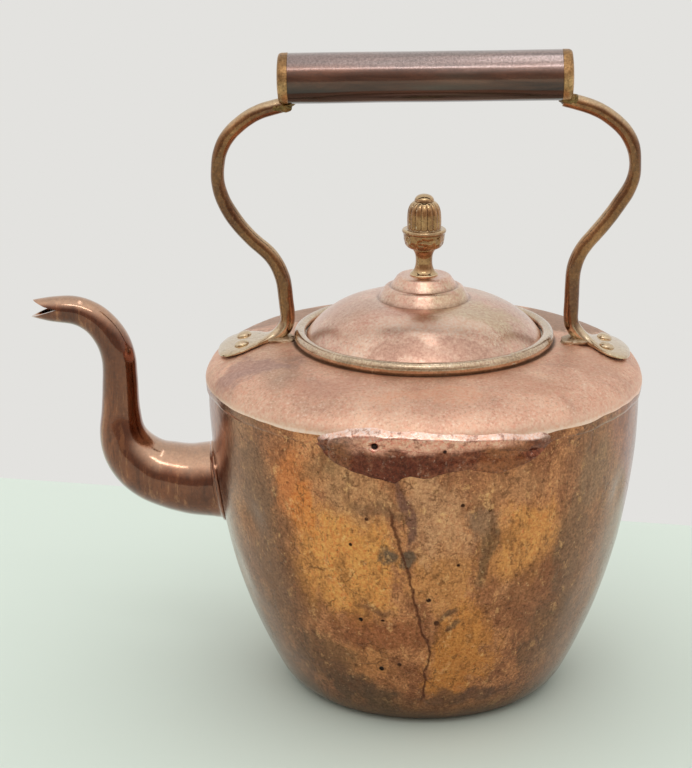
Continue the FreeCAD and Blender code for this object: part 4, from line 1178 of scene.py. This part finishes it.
def makeArm(name, plan, side, node, seed):
    points = [(handle["gripHalf"] + out, handle["gripHeight"] - down) for out, down in plan["upper"]]
    points += [(mouthRadius + out, shoulderHigh + rise) for out, rise in plan["lower"]]
    points.append((footTip, shoulderAt(footTip) + handle["tipRise"]))
    root = mouthRadius + plan["lower"][-2][0] + handle["rod"]
    route = bentRoute(points, [handle["bend"]] * (len(points) - 2), handle["step"])
    fine = [k / handle["tipSteps"] for k in range(1, handle["tipSteps"])]
    route = route[:-1] + [tuple(mix(a, b, t) for a, b in zip(route[-2], route[-1])) for t in fine]
    flatStart, flatEnd = (root + off for off in handle["flatten"])
    lying, lifted, liftRun = handle["proud"]
    rows = []
    for (radius, z), way in zip(route, tangents(route)):
        low = z < shoulderHigh + handle["lowLevel"] and radius < handle["lowReach"]
        flat = ease(flatStart, flatEnd, radius) if low else 0.0
        wide = mix(handle["rod"], footHalf(radius, root), flat)
        thick = mix(handle["rod"], handle["footSheet"] / 2, flat)
        if radius > footWide:
            thick *= mix(handle["thinTip"], 1.0, math.sqrt(max(0.0, footHalf(radius, root) / handle["half"])))
        square = mix(1.0, handle["square"], flat)
        over = Vector((-way.z, 0, way.x))
        ring = []
        for s in range(handle["sides"]):
            turn = 2 * math.pi * s / handle["sides"]
            out = math.copysign(abs(math.cos(turn)) ** square, math.cos(turn)) * wide
            lift = math.copysign(abs(math.sin(turn)) ** square, math.sin(turn)) * thick
            spot = Vector((radius, out, z)) + over * lift
            if flat:  # lies on the shoulder and curves with it
                sheet = shoulderAt(math.hypot(spot.x, spot.y)) + bodySag(side * spot.x, spot.y, shoulderHigh)
                proud = lying + lifted * ease(footWide - liftRun, footTip, radius)
                bedded = Vector((spot.x, spot.y, sheet + proud + handle["footSheet"] / 2 + lift))
                spot = spot.lerp(bedded, flat)
            push = uneven(*spot, (0.14, 9, seed), (0.06, 3.5, seed + 2))
            spot += (over * math.sin(turn) + sideways * math.cos(turn)) * push * mix(1.0, 0.6, flat)
            ring.append(Vector((side * spot.x, side * spot.y, spot.z)) * mm)
        rows.append(ring)
    seat(skin(name, capped(rows), [brassArms], closed=False), "kettle", "brass_arms", node)


rivetPlan = {"shank": ((0, -3.0), (1.7, -3.0), (1.7, 0.0), (3.35, 0.0)), "sides": 48, "proud": 0.1,
             "head": ((3.5, 0.25), (3.2, 1.75), (0, 1.95), 12), "ripple": (0.16, 3), "calmBelow": 0.2}


def makeRivets(name, side, node, seed):
    half = math.asin(handle["rivetPitch"] / 2 / rivetCircle)
    profile = solidProfile([*rivetPlan["shank"], *bow(*rivetPlan["head"])])
    slope = shoulderAt(rivetCircle + 1) - shoulderAt(rivetCircle - 1)
    height = shoulderAt(rivetCircle) + bodySag(side * rivetCircle, 0, shoulderHigh)
    place = Vector((rivetCircle, 0, height + handle["footSheet"] + rivetPlan["proud"])) * mm
    lying = Matrix.Translation(place) @ Matrix.Rotation(-math.atan2(slope, 2), 4, "Y")
    heads = []
    for index, turn in enumerate((-half, half)):
        def relief(x, y, z):
            if z <= rivetPlan["calmBelow"]:
                return 0.0
            return uneven(x, y, z, (*rivetPlan["ripple"], seed + index))

        rows = turnedRows(profile, aroundAxis(rivetPlan["sides"]), relief)
        head = skin(f"{name}{index}", rows, [brassArms], closed=False)
        spin = Matrix.Rotation(turn + (0 if side > 0 else math.pi), 4, "Z")
        head.data.transform(spin @ lying)
        heads.append(head)
    seat(join(name, heads), "kettle", "brass_arms", node)


# brass brazed between rods and caps, solder wiped round the roots of the rods
# for each blob its place from the joint, its half sizes and what it adds to the seed
brazeBlobs = (((-2.3, 0, -0.8), (4.2, 4.2, 2.6), 0), ((0.5, -0.4, -1.0), (2.2, 3.5, 2.2), 5),
              ((-4.9, 0.8, 0.4), (2.8, 4.0, 1.8), 9))
solderBlobs = (((0, -3.4, 0), (3.6, 3.4, 1.5), 0), ((1.5, 1.6, 0), (4.4, 4.6, 1.4), 3),
               ((4.6, -4.2, 0), (4.6, 2.0, 1.2), 6))
blobPlan = {"rings": 24, "sides": 48, "ripples": ((0.2, 0.8, 0), (0.1, 0.35, 4)), "brazeDrop": (11.4, 9.6),
            "solderOut": (61.4, 64.6), "solderSunk": 0.1}


def lump(centre, size, finish, seed):
    rings = blobPlan["rings"]
    turns = [math.pi * k / rings for k in range(rings + 1)]
    profile = solidProfile([(math.sin(turn), -math.cos(turn)) for turn in turns])

    def relief(x, y, z):
        return uneven(x, y, z, *((height, lumps, seed + more) for height, lumps, more in blobPlan["ripples"]))

    blob = skin("lump", turnedRows(profile, aroundAxis(blobPlan["sides"]), relief), [finish], closed=False)
    blob.data.transform(Matrix.Translation(Vector(centre) * mm) @ Matrix.Diagonal((*size, 1)))
    return blob


def makeJoints():
    lean = handle["gripHalf"] * math.sin(math.radians(handle["tilt"]))
    left, right = (handle["gripHeight"] - drop for drop in blobPlan["brazeDrop"])
    base = shoulderHigh - blobPlan["solderSunk"]
    near, far = blobPlan["solderOut"]
    for name, side, out, height, blobs, finish, seed in (
            ("spoutSideBraze", -1, handle["gripHalf"], left - lean, brazeBlobs, braze, 1.3),
            ("rearBraze", 1, handle["gripHalf"], right + lean, brazeBlobs, braze, 2.6),
            ("spoutSideSolder", -1, near, base, solderBlobs, solder, 3.7),
            ("rearSolder", 1, far, base, solderBlobs, solder, 5.9)):
        lumps = [lump((side * (out + x), y, height + z), size, finish, seed + more)
                 for (x, y, z), size, more in blobs]
        seat(join(name, lumps), "kettle", "brass_arms")


# grip: a copper tube between two brass caps with spigots inside it, made upright and laid along the handle
gripPlan = {
    "sheet": 0.9, "rows": 110, "sides": 128, "swell": (0.12, 16, 3.8), "streaks": (0.03, 4, 6.6),
    "spigot": 1.0, "inner": 2.0, "spigotLength": 11, "floor": 1.8, "ripple": (0.07, 5, 9.3), "proud": 0.08,
    "seam": (0.15, 0.25), "corner": 3.6, "cornerStart": (0.05, 2.8), "cornerPole": 0.6, "face": (2.0, 0.55),
}


def gripTurn(piece):
    lean = Matrix.Rotation(-math.radians(handle["tilt"]), 4, "Y")
    lift = Matrix.Translation(Vector((0, 0, handle["gripHeight"] * mm)))
    piece.data.transform(lift @ lean @ Matrix.Rotation(math.pi / 2, 4, "Y"))


def makeGrip():
    radius, half, band = handle["gripRadius"], handle["gripHalf"], handle["band"]
    angles = aroundAxis(gripPlan["sides"])
    outside = straight((radius, band - half), (radius, half - band), gripPlan["rows"])

    def tubeRelief(x, y, z):  # drawn out along the tube
        return uneven(x, y, z * 0.5, gripPlan["swell"]) + uneven(x, y, z * 0.3, gripPlan["streaks"])

    rows = turnedRows(sheetProfile(outside, gripPlan["sheet"]), angles, tubeRelief)
    tube = skin("gripTube", rows, [copperGrip])
    gripTurn(tube)
    seat(tube, "kettle", "copper_grip", "grip_tube")
    spigot, inner, proud = radius - gripPlan["spigot"], radius - gripPlan["inner"], radius + gripPlan["proud"]
    floor, root, seam = half - gripPlan["floor"], half - gripPlan["spigotLength"], half - band
    seamIn, seamRound = gripPlan["seam"]
    out, down = gripPlan["cornerStart"]
    faceEdge = (radius - gripPlan["face"][0], half - gripPlan["face"][1])
    corner = bow((radius + out, half - down), (radius + out, half - gripPlan["cornerPole"]), faceEdge, 8)
    face = bow(faceEdge, (radius / 2, half), (0, half), 8)
    points = [(0, floor), (inner, floor), (inner, root), (spigot, root), (spigot, seam),
              (radius - seamIn, seam), (proud, seam + seamRound), (proud, half - gripPlan["corner"])]
    profile = solidProfile(points + chain(corner, face))
    for name, node, way in (("spoutSideCap", "spout_side_cap", -1), ("rearCap", "rear_cap", 1)):
        def capRelief(x, y, z):
            return uneven(x, y, z * way, gripPlan["ripple"]) if math.hypot(x, y) > spigot else 0.0

        cap = skin(name, turnedRows(profile, angles, capRelief), [brassCap], closed=False)
        if way < 0:
            cap.data.transform(Matrix.Rotation(math.pi, 4, "X"))
        gripTurn(cap)
        seat(cap, "kettle", "brass_ring", node)


makeBase()
makeWall()
makeShoulder()
makePatch()
makeRing()
makeLid()
makeFinial()
makeSpout()
makeCollar()
makeArm("spoutSideArm", handle["spoutSide"], -1, "spout_side_arm", 2.4)
makeArm("rearArm", handle["rear"], 1, "rear_arm", 7.9)
makeRivets("spoutSideRivets", -1, "spout_side_rivets", 1.1)
makeRivets("rearRivets", 1, "rear_rivets", 4.6)
makeJoints()
makeGrip()
for node, finish in (("lid_skirt", copperLid), ("finial_washer", brassFinial), ("finial_nut", brassFinial)):
    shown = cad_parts[node]
    shown.data.materials.clear()
    shown.data.materials.append(finish)
print("pieces made")

# stage: a pale cloth on the table, ending where a white wall begins
stagePlan = {
    "floor": "#d3e0d8", "floorRough": 0.9, "wall": "#e3e2df", "lit": "#f7f5f2", "room": "#a0958b",
    "ceiling": "#fffdf9", "level": 1.22, "behind": (-0.7, 0.35), "overhead": (0.25, 0.85),
    "side": 2.2, "front": -2.2, "backLeft": 0.255, "backRight": 0.185, "edgeLeft": -0.25, "edgeRight": 0.15,
}


def makeStage():
    run = stagePlan["edgeRight"] - stagePlan["edgeLeft"]
    slope = (stagePlan["backRight"] - stagePlan["backLeft"]) / run
    side, front = stagePlan["side"], stagePlan["front"]
    back = [stagePlan["backLeft"] + slope * (x - stagePlan["edgeLeft"]) for x in (-side, side)]
    mesh = bpy.data.meshes.new("floor")
    corners = [(-side, front, 0), (side, front, 0), (side, back[1], 0), (-side, back[0], 0)]
    mesh.from_pydata(corners, [], [(0, 1, 2, 3)])
    cloth = bpy.data.materials.new("wovenTableCloth")  # matt pale green cotton
    cloth.use_nodes = True
    shader = cloth.node_tree.nodes["Principled BSDF"]
    shader.inputs["Base Color"].default_value = hexColour(stagePlan["floor"])
    shader.inputs["Roughness"].default_value = stagePlan["floorRough"]
    mesh.materials.append(cloth)
    floor = bpy.data.objects.new("floor", mesh)
    bpy.context.scene.collection.objects.link(floor)


def makeRoom():  # a room darker behind the camera, which the eye and mirrors see as the white wall
    world = bpy.data.worlds.new("room")
    bpy.context.scene.world = world
    world.use_nodes = True
    tree = world.node_tree
    wall, lit, room, ceiling = (hexColour(stagePlan[key]) for key in ("wall", "lit", "room", "ceiling"))
    way = put(tree, "SeparateXYZ", {0: put(tree, "TexCoord", out="Generated")}).node.outputs
    behind, overhead = (put(tree, "MapRange", {"Value": way[axis], "From Min": low, "From Max": high})
                        for axis, (low, high) in ((1, stagePlan["behind"]), (2, stagePlan["overhead"])))
    shown = put(tree, "Mix", {0: behind, 6: room, 7: lit}, 2, data_type="RGBA")
    shown = put(tree, "Mix", {0: overhead, 6: shown, 7: ceiling}, 2, data_type="RGBA")
    rays = put(tree, "LightPath").node.outputs
    mirrored = put(tree, "Math", {0: rays["Is Glossy Ray"], 1: rays["Is Transmission Ray"]}, operation="ADD")
    mirrored = put(tree, "Math", {0: mirrored, 1: behind}, operation="MULTIPLY")
    seen = put(tree, "Math", {0: rays["Is Camera Ray"], 1: mirrored}, operation="MAXIMUM")
    shown = put(tree, "Mix", {0: seen, 6: shown, 7: wall}, 2, data_type="RGBA")
    strength = put(tree, "MapRange", {"Value": seen, "To Min": stagePlan["level"], "To Max": 1.0})
    tree.links.new(shown, tree.nodes["Background"].inputs["Color"])
    tree.links.new(strength, tree.nodes["Background"].inputs["Strength"])


lamps = (  # name, place, target, width, depth, watts
    ("ceilingPanel", (0.1, 0.0, 1.7), (0, 0, 0.1), 0.9, 0.08, 0.5),
    ("frontPanel", (0.0, -0.95, 1.45), (0, 0, 0.15), 0.9, 0.12, 1.4),
)


def makeLamps():
    for name, place, target, width, depth, watts in lamps:
        light = bpy.data.lights.new(name, "AREA")
        light.shape = "RECTANGLE"
        light.size, light.size_y, light.energy = width, depth, watts
        lamp = bpy.data.objects.new(name, light)
        lamp.location = place
        lamp.rotation_mode = "QUATERNION"
        lamp.rotation_quaternion = (Vector(target) - Vector(place)).to_track_quat("-Z", "Y")
        bpy.context.scene.collection.objects.link(lamp)


camera = {"elevation": 19.03, "distance": 1.0, "pivot": (0, 0, 0.11), "aim": (-0.0351, 0, 0.1390),
          "roll": -0.317, "focal": 102.3}


def makeCamera():
    data = bpy.data.cameras.new("camera")
    data.lens = camera["focal"]
    lens = bpy.data.objects.new("camera", data)
    tilt = math.radians(camera["elevation"])
    back = Vector((0, -math.cos(tilt), math.sin(tilt)))
    lens.location = Vector(camera["pivot"]) + back * camera["distance"]
    lens.rotation_mode = "QUATERNION"
    look = (Vector(camera["aim"]) - lens.location).to_track_quat("-Z", "Y")
    lens.rotation_quaternion = look @ Matrix.Rotation(math.radians(camera["roll"]), 3, "Z").to_quaternion()
    bpy.context.scene.collection.objects.link(lens)
    bpy.context.scene.camera = lens


makeStage()
makeRoom()
makeLamps()
makeCamera()
bpy.context.scene.view_settings.view_transform = "Standard"
print("stage, lamps and camera made")
